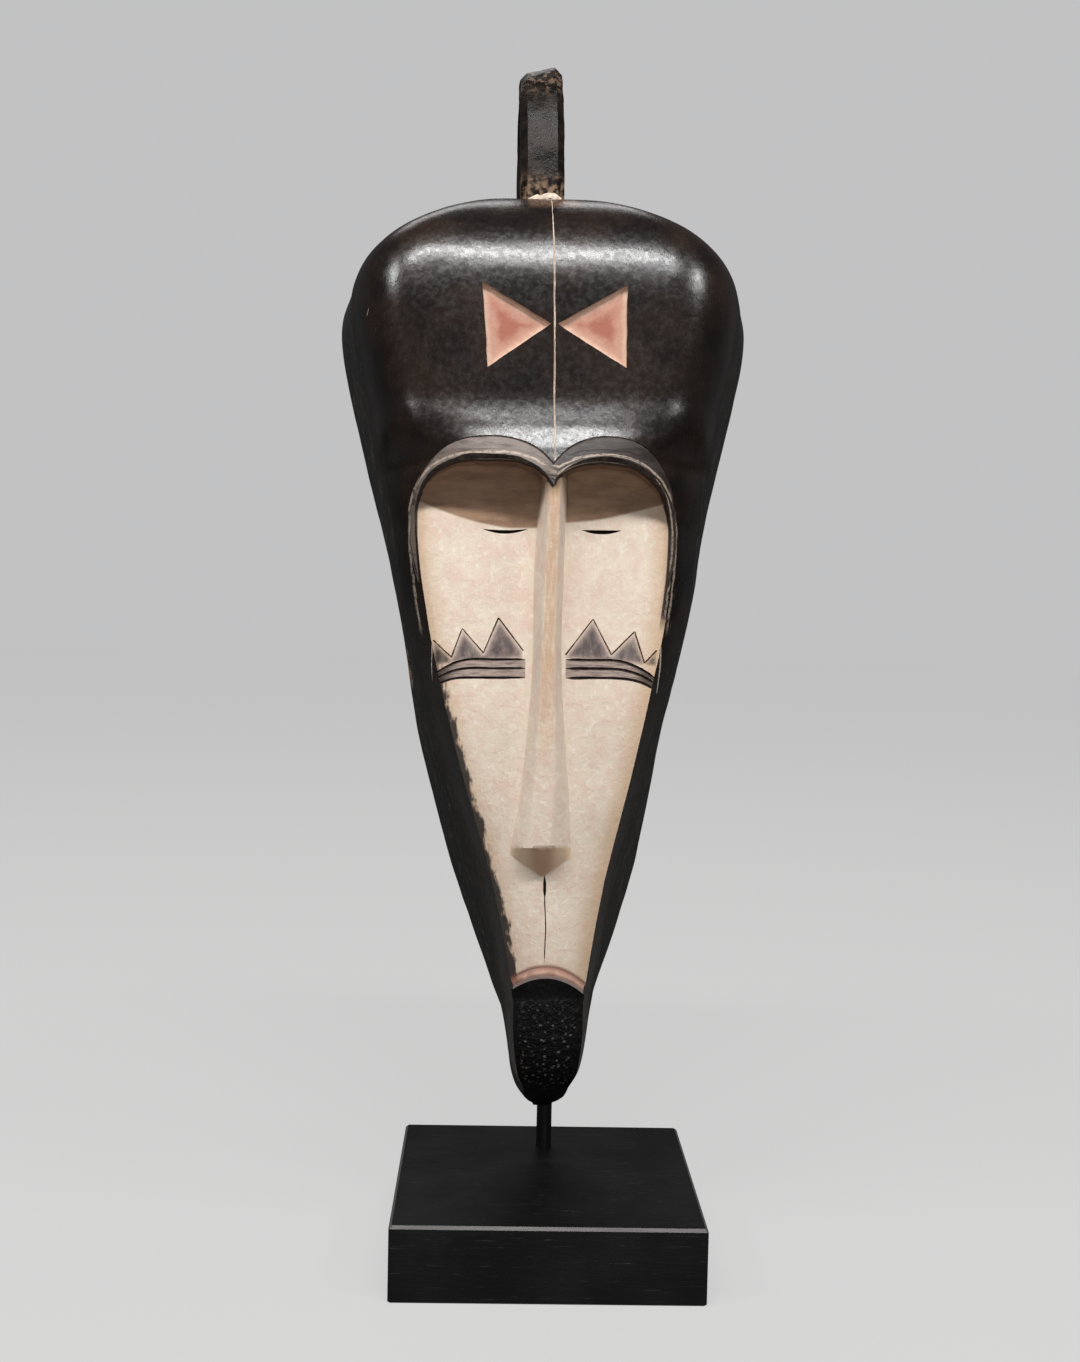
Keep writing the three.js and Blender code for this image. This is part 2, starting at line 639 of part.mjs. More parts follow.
function standRod() {
  const bottom = BASE_HEIGHT - ROD_SINK + FIT_GAP;
  const tube = new THREE.CylinderGeometry(ROD_RADIUS, ROD_RADIUS, rodTop() - bottom, TUBE_STEPS);
  tube.rotateX(Math.PI / 2);
  const rod = new THREE.Mesh(
    tube,
    new THREE.MeshStandardMaterial({ color: 0x0c0c0d, roughness: 0.4, metalness: 0.2 }),
  );
  rod.name = 'stand_rod';
  rod.position.set(ROD_AT[0], ROD_AT[1], (rodTop() + bottom) / 2);
  return rod;
}

function standBase() {
  const half = BASE_SIDE / 2;
  const ring = (inset, z) => [[-1, -1], [1, -1], [1, 1], [-1, 1]].flatMap(([sx, sy]) => {
    const x = sx * (half - inset);
    const y = sy * (half - inset);
    const cut = BASE_BEVEL / 2;
    return sx * sy > 0
      ? [[x, y - sy * cut, z], [x - sx * cut, y, z]]
      : [[x - sx * cut, y, z], [x, y - sy * cut, z]];
  });
  const block = solid(ringSolid([
    ring(BASE_BEVEL / 2, 0),
    ring(0, BASE_BEVEL / 2),
    ring(0, BASE_HEIGHT - BASE_BEVEL),
    ring(BASE_BEVEL, BASE_HEIGHT),
  ]));
  const radius = ROD_RADIUS + FIT_GAP;
  const bore = new THREE.CylinderGeometry(radius, radius, ROD_SINK * 2, TUBE_STEPS);
  bore.rotateX(Math.PI / 2);
  bore.translate(ROD_AT[0], ROD_AT[1], BASE_HEIGHT);
  const base = new THREE.Mesh(
    geometryOf(block.subtract(solid(bore))),
    new THREE.MeshStandardMaterial({ color: 0x101011, roughness: 0.5, metalness: 0 }),
  );
  base.name = 'stand_base';
  return base;
}

const model = new THREE.Group();
model.add(standBase());
model.add(standRod());
model.add(maskPlace);

export default model;
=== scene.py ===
# A tall carved wooden mask on its stand: glossy black forehead with two sunk red triangles, chalky
# white face under two brow arches, long nose, stippled chin, hollow back and a loop-shaped crest.
# The mask is carved in its own frame in millimetres, with x to the right, depth forward from the
# open back and height up, and is then placed on the rod in metres.

import math

import bpy
import numpy as np
from mathutils import Matrix, Vector


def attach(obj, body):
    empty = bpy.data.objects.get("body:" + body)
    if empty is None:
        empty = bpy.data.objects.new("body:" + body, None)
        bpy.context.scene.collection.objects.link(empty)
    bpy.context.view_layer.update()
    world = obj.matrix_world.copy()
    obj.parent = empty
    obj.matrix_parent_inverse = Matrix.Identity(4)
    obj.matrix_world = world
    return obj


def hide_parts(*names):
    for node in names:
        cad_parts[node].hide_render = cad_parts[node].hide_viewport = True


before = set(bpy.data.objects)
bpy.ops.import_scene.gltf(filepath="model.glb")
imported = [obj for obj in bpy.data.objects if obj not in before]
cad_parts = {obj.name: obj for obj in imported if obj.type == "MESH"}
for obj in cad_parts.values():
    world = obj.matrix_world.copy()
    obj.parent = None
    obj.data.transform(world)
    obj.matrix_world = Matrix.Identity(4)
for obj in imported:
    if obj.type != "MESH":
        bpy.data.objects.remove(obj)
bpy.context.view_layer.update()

MM = 0.001

# Camera, in millimetres and degrees, and its focal length in pixels of the picture
CAMERA_AT = (-28.49, -856.78, 340.12)
CAMERA_YAW = -1.384
CAMERA_PITCH = 3.463
CAMERA_ROLL = 1.203
FOCAL_PIXELS = 1710.4
PICTURE_HEIGHT = 1362
SENSOR = 36.0

# Studio: each light's name, place and size in metres, and power in watts
BACKDROP_BRIGHTNESS = 0.75
BACKDROP_COLOUR = (0.72, 0.72, 0.73)
ROOM_BRIGHTNESS = 0.08
ROOM_COLOUR = (0.8, 0.81, 0.83)
FLOOR_COLOUR = (0.12, 0.118, 0.116)
FLOOR_ROUGHNESS = 0.9
FLOOR_GLOW = 0.52
FLOOR_REACH = 6
LIGHTS_AIM = (0, 0, 0.32)
LIGHTS = (
    ("key", (-0.06, -0.98, 1.77), (1.5, 0.12), 33),
    ("left", (-1.5, -0.9, 1.65), (0.45, 0.45), 12),
    ("right", (1.5, -0.9, 1.65), (0.45, 0.45), 12),
    ("low", (0.2, -1.9, 0.45), (0.8, 0.5), 6),
    ("back", (-0.3, 1.7, 2.4), (1.6, 0.8), 9),
)

# Stand
ROD_RADIUS = 4
ROD_AT = (0.3, 42.2)
FIT_GAP = 0.3

# Place of the mask's own frame
MASK_FOOT = (-1.5, 37.9, 67)
MASK_LEAN = math.radians(5.5)
MASK_TURN = math.radians(1.5)
MASK_ROLL = math.radians(-0.76)

# Order of the materials on the mask, and the angle from which its edges are sharp
BLACK, WHITE, CHIN, RED, INSIDE, CREST_WOOD, DARK_LINE, CREAM_LINE, BROWN_LINE = range(9)
SHARP_ANGLE = math.radians(32)

# Hull
CHIN_END = -4.5
CROWN_END = 461.7
CHIN_ROUND = 40.5
CROWN_ROUND = 114.3
END_FLAT = 0.2
CHIN_POWER = 2.6
CROWN_POWER = 4
SHOULDER_END = 464
SHOULDER_ROUND = 109
SHOULDER_POWER = 4.3
SHOULDER_ROOT = 1.26
CROWN_SKEW = -4
SKEW_END = 380
CROWN_TAPER = 11.5
TAPER_END = 350
CORE_DEPTH = 40

# Face
FACE_LOW = 8
FACE_HIGH = 290
FACE_SHOULDER = 285
FACE_MIDDLE = -1
FACE_SKEW = 0.0195
FACE_SKEW_FROM = 70
RIM_STEP = (235, 250)
CUT_MARGIN = 6
CUT_FRONT = 150
FACE_LAP = 8
BROW_LAP = 0.2
BROW_SPRINGING = 10
BROW_LEFT = dict(side=-1, x=-32.5, z=285, a=34.5, b=33, power=2.8, rims=(4.6,))
BROW_RIGHT = dict(side=1, x=23, z=285, a=33, b=32, power=2.2, rims=(3.0, 5.6))
BROW_LINES = (dict(side=-1, x=-31.5, z=283, a=38.5, b=46, power=2.3),
              dict(side=1, x=24.5, z=283, a=34.5, b=46, power=2.2))
BROW_LINE_ENDS = dict(heights=(272, 262), start=255, spread=0.16)
BROW_MEETING = -1.5
RIM_LINE_LOW = 238

# Painted rim lines: their distance outside the face, and whether only the right brow has them
RIM_PAINT = ((3.9, False), (1.7, True))

# Lower edges of the bare brown wood under the brows, which also stands in for the shadow the brows
# cast: partly painted shadow, its edge drawn along that shadow's edge
SHADE_LEFT = [(-67, 301.5), (-49, 294.3), (-33, 289.7), (-20, 287.8), (-8, 288)]
SHADE_RIGHT = [(4, 290.4), (20, 292), (36, 295.6), (52, 300), (57, 301.5)]

# Eye slits, and the depths that they are cut between
EYES = (dict(x=-23.6, z=287.6, width=22, height=1.7, sag=1.5),
        dict(x=22.6, z=287.4, width=19.5, height=2, sag=1))
EYE_CUT = (60, 115)

# Nose, lip and chin
NOSE_TIP_X = -4.6
NOSE_APEX = 120.5
NOSE_FRONT = 135.5
NOSE_KEEL = 0.7
NOSE_UNDERCUT_TOP = 131.5
NOSE_UNDERCUT_GAP = 0.5
NOSE_ROUNDING = 1.5
LIP_X = -2.2
LIP_TOP = 70.5
LIP_CURVE = 0.0237
LIP_HEIGHT = 5.5
LIP_ROLL = 1.2
CHIN_DROP = 3
CHIN_CUT = dict(half=26, low=-8)
MOUTH_CRACK = [(-3, 78), (-2.4, 95), (-3.2, 112), (-3.4, 121.5)]
MOUTH_NOTCH = [(-3.1, 110), (-3.4, 121.5)]

# Sunk triangles, zigzags, the forehead's groove and the bands
TRIANGLE_DEPTH = 2.8
TRIANGLES = (
    [(-35.2, 403.4), (-32.3, 362.6), (-2.4, 383.6)],
    [(0.5, 383.6), (33.2, 363), (33.9, 402.8)],
)
ZIGZAGS = (
    [(-14.6, 229.7), (-26.5, 245.3), (-33.6, 228.6), (-43.8, 240.2), (-48.9, 226.5),
     (-57.6, 234.6)],
    [(5.7, 227.8), (18.8, 245), (27.8, 228), (39, 239.2), (44, 224.1), (50, 230.4)],
)
ZIGZAG_FOOT = 3
GROOVE = dict(x=-0.9, low=317, high=458)
BAND_TOP = 225.5
BAND_OFFSETS = (0, 4.2, 8.7)
BAND_NARROWING = 0.35
BANDS = (
    dict(side=-1, inner=13.6, outer=59, bend_at=38, curl=0.02),
    dict(side=1, inner=5.8, outer=49.5, bend_at=26, curl=0.016),
)

# Pale strokes in the black paint: their course, width and depth
STROKES = (
    ([(-81.5, 399.2), (-78, 400.4), (-73.5, 399.6)], 1.3, 0.5),
    ([(-88, 399.8), (-85.6, 401)], 0.9, 0.4),
    ([(-91.2, 390.5), (-90, 395)], 0.9, 0.4),
    ([(-58.9, 234), (-59.3, 224), (-59, 214)], 0.9, 0.5),
    ([(52.1, 233), (52.5, 221), (51.6, 209)], 0.9, 0.5),
)

# Forms of the incised lines: width, depth, the length over which an end narrows, and wander
LINE_WIDTH = 1.5
LINE_DEPTH = 1
LINE_WANDER = 0.15
LINE_STEP = 1.6
LINE_LEAST_STEP = 0.2
LINE_THINNEST = 0.12
LINE_MARGIN = 1
GROOVE_CUT = dict(region=CREAM_LINE)
CHAMFER_CUT = dict(width=6.2, depth=2.4, ends=22, wander=0.45)
RIM_CUT = dict(width=0.7, depth=0.5, ends=6, wander=0.35)
CRACK_CUT = dict(width=0.6, depth=1.6, region=BROWN_LINE, ends=5)
NOTCH_CUT = dict(width=1.7, depth=2.5, ends=3)
STROKE_CUT = dict(region=CREAM_LINE, ends=2)
BAND_CUT = dict(width=1.15, ends=3)
ZIGZAG_CUT = dict(width=0.7, depth=0.7, region=BROWN_LINE, wander=0)

# Hollow, holes and crest
HOLLOW_FROM = 46
HOLLOW_EVEN = (60, 400)
HOLLOW_TO = 452
HOLLOW_DOME = 75
HOLLOW_DOME_POWER = 2.6
HOLLOW_POWER = 2.5
HOLLOW_TOP_SHARE = 0.06
HOLLOW_BEHIND = 6
HOLLOW_EDGE = 1.5
SIDE_HOLE = dict(x=72, depth=21, tall=7.5, deep=8.5, reach=40)
SIDE_HOLE_HEIGHTS = ((-1, 224), (1, 230))
CREST = dict(x=-4.2, depth=38, z=462, inner=(19, 60), thick=13, half=11.4)
CREST_TILT = 0.2
CREST_CHAMFER = 3.6
CREST_FOOT = 453
CREST_TOP = (0.75, 0.97)
FILLER = dict(x=-3.4, z=456.8, depth=70.4, half=9.4, radius=3.1, thinning=0.97, bend=0.5)
ROD_SOCKET_TOP = 454
ROD_GROOVE_FROM = 20

# Unevenness of the surfaces: layers of noise as (height, size, seed), and how far the carved
# surface lies inside the plain one on the whole
HULL_SWELL = ((0.3, 34, 1), (0.12, 12, 2))
HULL_INSET = 0.45
SIDE_STREAKS = ((0.3, (5, 5, 40), 3), (0.2, (2.5, 2.5, 16), 4))
SIDE_INSET = 0.6
SIDE_ROUGH_FROM = (0.25, 0.7)
RIM_CALM = 4
BROW_WAVE = (0.35, 3.5, 7)
FACE_RELIEF = ((0.22, 22, 11), (0.1, (6, 6, 12), 12))
CHIN_GRAIN = ((0.32, 1.5, 21), (0.2, 3.5, 22))
GOUGES = ((0.8, (9, 9, 22), 31), (0.5, (5, 5, 11), 32))
GOUGE_INSET = 0.9
GOUGE_RADIUS = 60
CREST_DENTS = ((0.25, 7, 41), (0.15, 3, 42))
CREST_INSET = 0.4
CREST_CHIPPED = (1.4, 4, 43)
CREST_TOP_INSET = 0.2
FILLER_LUMPS = (0.22, 1.8, 71)
TRIANGLE_WAVES = ((0.25, 5, 51), (0.25, 5, 52))
LINE_WAVE = (9, 61)
LINE_WIDTH_WAVE = (0.25, 6, 62)
LINE_DEPTH_WAVE = (0.2, 8, 63)

# Steps of the carved surfaces
CHIN_ROWS = 30
HULL_ROWS = 230
CROWN_ROWS = 60
HULL_TURNS = 170
TURN_EVENING = 1 / 26
FACE_COLUMNS = (44, 11, 4, 4, 11, 40)
FACE_ROWS = (4, 8, 34, 14, 104, 34)
FACE_PASSES = 7
DEPTH_PASSES = 30
CHIN_STEPS = 110
HOLLOW_FOOT_ROWS = 12
HOLLOW_ROWS = 110
HOLLOW_DOME_ROWS = 26
HOLLOW_TURNS = 60
CREST_STEPS = 90
CREST_SECTION = (10, 6, 4, 10, 4, 6)
FILLER_STEPS = (44, 20)
EYE_STEPS = 15
TRIANGLE_STEPS = (16, 16, 16)
TRIANGLE_RINGS = (1, 0.86, 0.7, 0.54, 0.38, 0.22, 0.06)
BROW_LINE_STEPS = 50
RIM_STEPS = 60
RIM_SIDE_STEPS = 12
GROOVE_STEPS = 90
BAND_STEPS = 30
ROD_STEPS = 32
HOLE_STEPS = 28
HOLE_RINGS = 6

# Painted areas: the heights that their outlines run between, and the steps along them
FACE_AREA = (FACE_SHOULDER, 66, 60)
CHIN_AREA = (7, 62, 30)
RIDGE_AREA = (120, 311, 40)
NOSE_AREA = (121, 311, 40)
BROW_STEPS = 90
LIP_STEPS = 12

# Colours as linear red, green and blue. Where there are two, the surface wanders between them.
FOREHEAD = ((0.0065, 0.0045, 0.004), (0.019, 0.0105, 0.007))
SIDES = ((0.002, 0.0017, 0.0015), (0.046, 0.037, 0.031))
SIDE_FLECKS = (0.13, 0.105, 0.09)
SIDE_SCRATCHES = (0.16, 0.13, 0.11)
WORN_BLACK = (0.055, 0.04, 0.032)
CROWN_PATCH = (0.15, 0.086, 0.058)
HOLE_RIM = (0.30, 0.235, 0.185)
BROW_BAND = ((0.022, 0.014, 0.011), (0.20, 0.158, 0.132))
BROW_SMEAR = (0.05, 0.034, 0.026)
RIM_CREAM = (0.46, 0.36, 0.28)
RIM_BLACK = (0.012, 0.0085, 0.0075)
RIM_WORN = (0.42, 0.32, 0.235)
CLAY = ((0.80, 0.68, 0.55), (0.77, 0.59, 0.485))
CLAY_PALE = (0.86, 0.77, 0.65)
CLAY_SPECKS = (0.62, 0.46, 0.33)
# Tan edge of the face: partly wear, partly painted shade
CLAY_EDGE = (0.60, 0.40, 0.24)
# Brown wood under the brows, partly painted shadow of the brows
BARE_WOOD_AND_BROW_SHADOW = ((0.22, 0.118, 0.064), (0.36, 0.215, 0.125))
# Tan underside of the nose, partly painted shade
UNDER_NOSE = ((0.62, 0.38, 0.24), (0.88, 0.64, 0.44))
NOSE_CHIP = (0.17, 0.09, 0.055)
NOSE_RIDGE = (0.57, 0.35, 0.20)
ZIGZAG_VIOLET = ((0.30, 0.22, 0.20), (0.085, 0.062, 0.066))
BAND_STREAKS = ((0.13, 0.095, 0.088), (0.42, 0.315, 0.275))
OUTER_STAIN = (0.03, 0.02, 0.017)
LIP_RED = ((0.38, 0.17, 0.12), (0.58, 0.34, 0.26))
LIP_LINE = (0.19, 0.07, 0.05)
LIP_RIM = (0.84, 0.67, 0.60)
CHIN_PAINT = ((0.0022, 0.002, 0.002), (0.13, 0.12, 0.115))
RED_CLAY = ((0.50, 0.27, 0.195), (0.36, 0.12, 0.075))
RED_EDGE = (0.68, 0.50, 0.38)
RED_SPECKS = (0.40, 0.15, 0.10)
RAW_WOOD = ((0.10, 0.055, 0.028), (0.25, 0.15, 0.08))
RAW_GRIME = (0.055, 0.034, 0.022)
CREST_PAINT = ((0.0055, 0.004, 0.0033), (0.02, 0.0125, 0.0085))
CREST_CHIPS = (0.17, 0.115, 0.08)
CREST_FOOT_WEAR = (0.3, 0.19, 0.12)
LINE_FILLS = (
    ("mask_dark_line", (0.02, 0.013, 0.011), (0.07, 0.045, 0.036)),
    ("mask_cream_line", (0.48, 0.38, 0.30), (0.70, 0.58, 0.48)),
    ("mask_brown_line", (0.10, 0.055, 0.03), (0.32, 0.2, 0.13)),
)

# Paint of the stand: its colour and its colour where it is worn, its roughness, and how far its
# bevels are paled with that colour
ROD_PAINT = ((0.005, 0.005, 0.0056), (0.06, 0.057, 0.054), 0.34, 0)
BASE_PAINT = ((0.003, 0.003, 0.0034), (0.10, 0.096, 0.092), 0.4, 0.9)


def curve(pairs):
    """A smooth curve through a few (place, value) pairs, which never overshoots them."""
    places, values = np.array(pairs, float).T
    rise = np.diff(values) / np.diff(places)
    product = rise[:-1] * rise[1:]
    total = np.where(product > 0, rise[:-1] + rise[1:], 1)
    inner = np.where(product > 0, 2 * product / total, 0)
    slope = np.concatenate([rise[:1], inner, rise[-1:]])

    def at(place):
        t = np.clip(place, places[0], places[-1])
        i = np.clip(np.searchsorted(places, t, side="left") - 1, 0, len(places) - 2)
        span = places[i + 1] - places[i]
        s = (t - places[i]) / span
        start = (1 + 2 * s) * (1 - s) ** 2 * values[i] + s * (1 - s) ** 2 * span * slope[i]
        end = s * s * (3 - 2 * s) * values[i + 1] + s * s * (s - 1) * span * slope[i + 1]
        return start + end

    return at


# Sizes of the mask along its height
rim_half_width = curve([(0, 19.4), (29, 19.2), (60, 29), (92, 40), (124, 50), (203, 68), (299, 87),
                        (346, 98.4), (400, 111), (440, 122)])
rim_middle = curve([(0, 0), (75, 1.3), (140, 0), (187, -1.5), (250, 1), (330, -0.3),
                    (400, 0.3), (470, 0.3)])
mid_depth = curve([(0, 69), (20, 69.5), (40, 77), (58, 86), (75, 92), (100, 101), (130, 111),
                   (165, 116), (205, 119), (250, 121), (290, 124.5), (312, 127.5), (322, 125.3),
                   (335, 121), (353, 117.3), (380, 116.5)])
squareness = curve([(0, 2.3), (60, 2.5), (130, 2.9), (205, 3.2), (290, 3.2), (316, 3.4),
                    (345, 6.8), (390, 6.8)])
face_half_width = curve([(8, 12), (20, 15.8), (40, 17.6), (58, 17.9), (69, 19.2), (99, 24),
                         (129, 30.5), (158, 38.3), (201, 48.9), (244, 56.8), (273, 60.4),
                         (290, 61.3)])
edge_depth = curve([(8, 34), (20, 49), (40, 61), (58, 66.5), (69, 70.5), (100, 77.5), (130, 82.5),
                    (158, 87.5), (205, 94.5), (250, 99.5), (290, 103.5)])
face_depth = curve([(60, 73.5), (75, 77), (100, 82), (130, 87.5), (165, 93.5), (205, 98.5),
                    (250, 102), (290, 104.5), (320, 106)])
face_drop = curve([(60, 5), (130, 5), (205, 4), (300, 3)])
chin_depth = curve([(-14, 0), (-2, 15), (5, 31), (10, 41), (20, 53), (40, 64), (60, 69.5),
                    (76, 72)])
nose_middle = curve([(135, -5.3), (168, -3.6), (235, -3.1), (265, -2.6), (311, -0.2)])
nose_half_width = curve([(135, 14.7), (168, 11), (235, 6.8), (265, 7.1), (311, 6)])
ridge_middle = curve([(135, -6.6), (168, -4.4), (235, -3), (311, -0.8)])
ridge_half_width = curve([(135, 5), (168, 4.2), (235, 3), (300, 2.4)])
ridge_depth = curve([(135, 97.8), (165, 103.5), (235, 113.5), (305, 122.5), (320, 124)])
hollow_depth = curve([(46, 24), (60, 38), (90, 55), (130, 68), (200, 82), (290, 92), (340, 99),
                      (400, 98), (452, 96)])
hollow_wall = curve([(46, 12), (100, 12.5), (300, 13), (452, 14)])


def mix(a, b, t):
    return a + (b - a) * t


def smooth_step(low, high, value):
    t = np.clip((value - low) / (high - low), 0, 1)
    return t * t * (3 - 2 * t)


def slowing(count):
    """Shares from 0 to 1 that close up toward 1."""
    return np.sin(np.linspace(0, math.pi / 2, count))


def circle(steps):
    angle = np.linspace(0, 2 * math.pi, steps, endpoint=False)
    return np.cos(angle), np.sin(angle)


def rounding(way, power, root=None):
    """Share of the full size that is left on the way, from 0 to 1, through a rounded end."""
    return (1 - np.clip(way, 0, 1) ** power) ** (1 / (power if root is None else root))


def half_oval(turn, power):
    """Share sideways and forward on a squarish half oval. The turn is 0 at its right end, a half
    in front and 1 at its left end."""
    angle = turn * math.pi
    side = np.sign(np.cos(angle)) * np.abs(np.cos(angle)) ** (2 / power)
    return side, np.abs(np.sin(angle)) ** (2 / power)


def chin_rounding(z):
    return rounding((CHIN_END + CHIN_ROUND - z) / CHIN_ROUND, CHIN_POWER)


def crown_rounding(z):
    return rounding((z - CROWN_END + CROWN_ROUND) / CROWN_ROUND, CROWN_POWER)


def shoulder_rounding(z):
    way = (z - SHOULDER_END + SHOULDER_ROUND) / SHOULDER_ROUND
    return rounding(way, SHOULDER_POWER, SHOULDER_ROOT)


def half_width(z):
    return rim_half_width(z) * chin_rounding(z) * shoulder_rounding(z)


def full_depth(z):
    return mid_depth(z) * chin_rounding(z) * crown_rounding(z)


def face_middle(z):
    return FACE_MIDDLE - FACE_SKEW * (np.minimum(z, FACE_SHOULDER) - FACE_SKEW_FROM)


def taper(z):
    """How much narrower the hull is in front than at the back, so that it meets the face's edge.
    The forehead narrows a little more, to a flat front with sides that slope back."""
    at = np.clip(z, FACE_LOW, FACE_HIGH)
    forward = edge_depth(at) / full_depth(at)
    side = rounding(forward, squareness(at))
    full = (half_width(at) - face_half_width(at) / side) / forward
    crown = CROWN_TAPER * smooth_step(FACE_HIGH, TAPER_END, z)
    return (full * np.minimum(half_width(z) / half_width(at), 1)
            + crown * np.minimum(half_width(z) / half_width(TAPER_END), 1))


def front_skew(z):
    """Sideways shift of the hull's front against its rim."""
    share = smooth_step(FACE_HIGH, SKEW_END, z)
    return mix(face_middle(np.maximum(z, FACE_LOW)), CROWN_SKEW, share)


def hull_point(z, turn):
    """Place (x, depth) of the hull at a height, by the turn round its half oval."""
    side, forward = half_oval(turn, squareness(z))
    x = side * (half_width(z) - taper(z) * forward) + mix(rim_middle(z), front_skew(z), forward)
    return x, full_depth(z) * forward


def hull_depth(x, z):
    """Depth of the hull's front at places seen from the front."""
    x, z = np.broadcast_arrays(np.asarray(x, float), np.asarray(z, float))
    low = np.zeros(x.shape)
    high = np.full(x.shape, 0.5)
    right = x > hull_point(z, high)[0]
    for _ in range(DEPTH_PASSES):
        half = (low + high) / 2
        reach = hull_point(z, np.where(right, half, 1 - half))[0]
        outside = np.where(right, reach > x, reach < x)
        low = np.where(outside, half, low)
        high = np.where(outside, high, half)
    return hull_point(z, high)[1]


def lip_edge(x):
    return LIP_TOP - LIP_CURVE * (x - LIP_X) ** 2


def nose_apex(x):
    return np.minimum(NOSE_APEX + NOSE_KEEL * np.abs(x - NOSE_TIP_X), NOSE_UNDERCUT_TOP)


def across_face(x, z):
    """How far across the face places are: 0 in its middle and 1 or -1 at its edges."""
    return (x - face_middle(z)) / face_half_width(z)


def face_surface(x, z):
    """Depth of the white face, with the nose and the rolled lip."""
    across = across_face(x, z)
    plane = face_depth(z) - face_drop(z) * across * across
    ridge = ridge_middle(z)
    flat = ridge_half_width(z)
    way = np.where(x < ridge, -1, 1)
    reach = nose_half_width(z) + way * (nose_middle(z) - ridge)
    slope = 1 - np.clip((np.abs(x - ridge) - flat) / (reach - flat), 0, 1) ** NOSE_ROUNDING
    start = nose_apex(x)
    swell = np.clip((z - start) / (NOSE_FRONT - start), 0, 1)
    above_lip = np.clip((z - lip_edge(x)) / LIP_HEIGHT, 0, 1)
    roll = LIP_ROLL * np.sin(math.pi * above_lip)
    return plane + (ridge_depth(z) - plane) * slope * swell + roll


def chin_surface(x, z):
    across = across_face(x, z)
    return chin_depth(z) - CHIN_DROP * across * across


def arch_top(arch, x):
    return arch["z"] + arch["b"] * rounding(np.abs(x - arch["x"]) / arch["a"], arch["power"])


def brow_edge(x):
    return np.where(x < BROW_MEETING, arch_top(BROW_LEFT, x), arch_top(BROW_RIGHT, x))


def lattice(cell, seed):
    """A fixed random value from -1 to 1 for each whole-numbered cell."""
    n = cell[..., 0] * 374761393 + cell[..., 1] * 668265263 + cell[..., 2] * 1440662683 + seed * 97
    n = (n ^ (n >> 13)) * 1274126177
    n = n ^ (n >> 16)
    return (n & 0xFFFF) / 0x7FFF - 1


def noise(points, size, seed):
    """Smooth noise from -1 to 1 at places, with bumps of a size, which may differ by axis."""
    scaled = points / np.asarray(size, float)
    base = np.floor(scaled).astype(np.int64)
    part = scaled - base
    part = part * part * (3 - 2 * part)
    total = 0
    for corner in np.ndindex(2, 2, 2):
        weight = np.prod(np.where(corner, part, 1 - part), axis=-1)
        total = total + weight * lattice(base + np.array(corner), seed)
    return total


def bumps(places, *layers):
    """Adds up layers of noise, each of a height, a size and a seed."""
    return sum(height * noise(places, size, seed) for height, size, seed in layers)


def mesh_object(name, points, faces, region):
    """An object from places in the mask's frame: (x, depth, height) in millimetres."""
    mesh = bpy.data.meshes.new(name)
    x, depth, height = np.asarray(points, float).reshape(-1, 3).T
    mesh.from_pydata(np.column_stack([x, -depth, height]).tolist(), [], faces)
    for material in MASK_MATERIALS:
        mesh.materials.append(material)
    mesh.polygons.foreach_set("material_index", np.full(len(mesh.polygons), region))
    mesh.update()
    thing = bpy.data.objects.new(name, mesh)
    bpy.context.scene.collection.objects.link(thing)
    return outward(thing)


def outward(thing):
    """Turns a closed mesh so that its faces look outward."""
    mesh = thing.data
    mesh.calc_loop_triangles()
    triangles = np.empty(len(mesh.loop_triangles) * 3, int)
    mesh.loop_triangles.foreach_get("vertices", triangles)
    a, b, c = vertices_of(mesh)[triangles.reshape(-1, 3)].transpose(1, 0, 2)
    if np.einsum("ij,ij->i", a, np.cross(b, c)).sum() < 0:
        mesh.flip_normals()
    return thing


def vertices_of(mesh):
    places = np.empty(len(mesh.vertices) * 3)
    mesh.vertices.foreach_get("co", places)
    return places.reshape(-1, 3)


def ring_solid(name, rows, region):
    """A closed solid from rings of places, one ring a row, with its end rings filled."""
    rows = np.asarray(rows, float)
    count, across = rows.shape[:2]
    r, c = np.meshgrid(np.arange(count - 1), np.arange(across), indexing="ij")
    a = (r * across + c).ravel()
    b = (r * across + (c + 1) % across).ravel()
    faces = np.column_stack([a, b, b + across, a + across]).tolist()
    faces.append(list(range(across - 1, -1, -1)))
    faces.append(list(range((count - 1) * across, count * across)))
    return mesh_object(name, rows, faces, region)


def front_solid(name, back, region):
    """A closed cutter from a grid of places on a carved surface straight out to the front."""
    front = back.copy()
    front[..., 1] = CUT_FRONT
    rows, columns = back.shape[:2]
    r, c = np.meshgrid(np.arange(rows - 1), np.arange(columns - 1), indexing="ij")
    a = (r * columns + c).ravel()
    shift = rows * columns
    faces = np.column_stack([a, a + columns, a + columns + 1, a + 1])
    faces = np.concatenate([faces, faces[:, ::-1] + shift]).tolist()
    border = [*range(columns), *(np.arange(1, rows) * columns + columns - 1),
              *((rows - 1) * columns + np.arange(columns - 2, -1, -1)),
              *(np.arange(rows - 2, 0, -1) * columns)]
    for one, other in zip(border, border[1:] + border[:1]):
        faces.append([int(one), int(other), int(other) + shift, int(one) + shift])
    return mesh_object(name, np.concatenate([back, front]), faces, region)


def combine(body, tool, operation="DIFFERENCE"):
    """Cuts the tool out of the body, or joins it on, and takes the tool away."""
    modifier = body.modifiers.new("carve", "BOOLEAN")
    modifier.solver = "MANIFOLD"
    modifier.operation = operation
    modifier.object = tool
    bpy.context.view_layer.update()
    graph = bpy.context.evaluated_depsgraph_get()
    carved = bpy.data.meshes.new_from_object(body.evaluated_get(graph))
    body.modifiers.remove(modifier)
    body.data = carved
    bpy.data.objects.remove(tool)


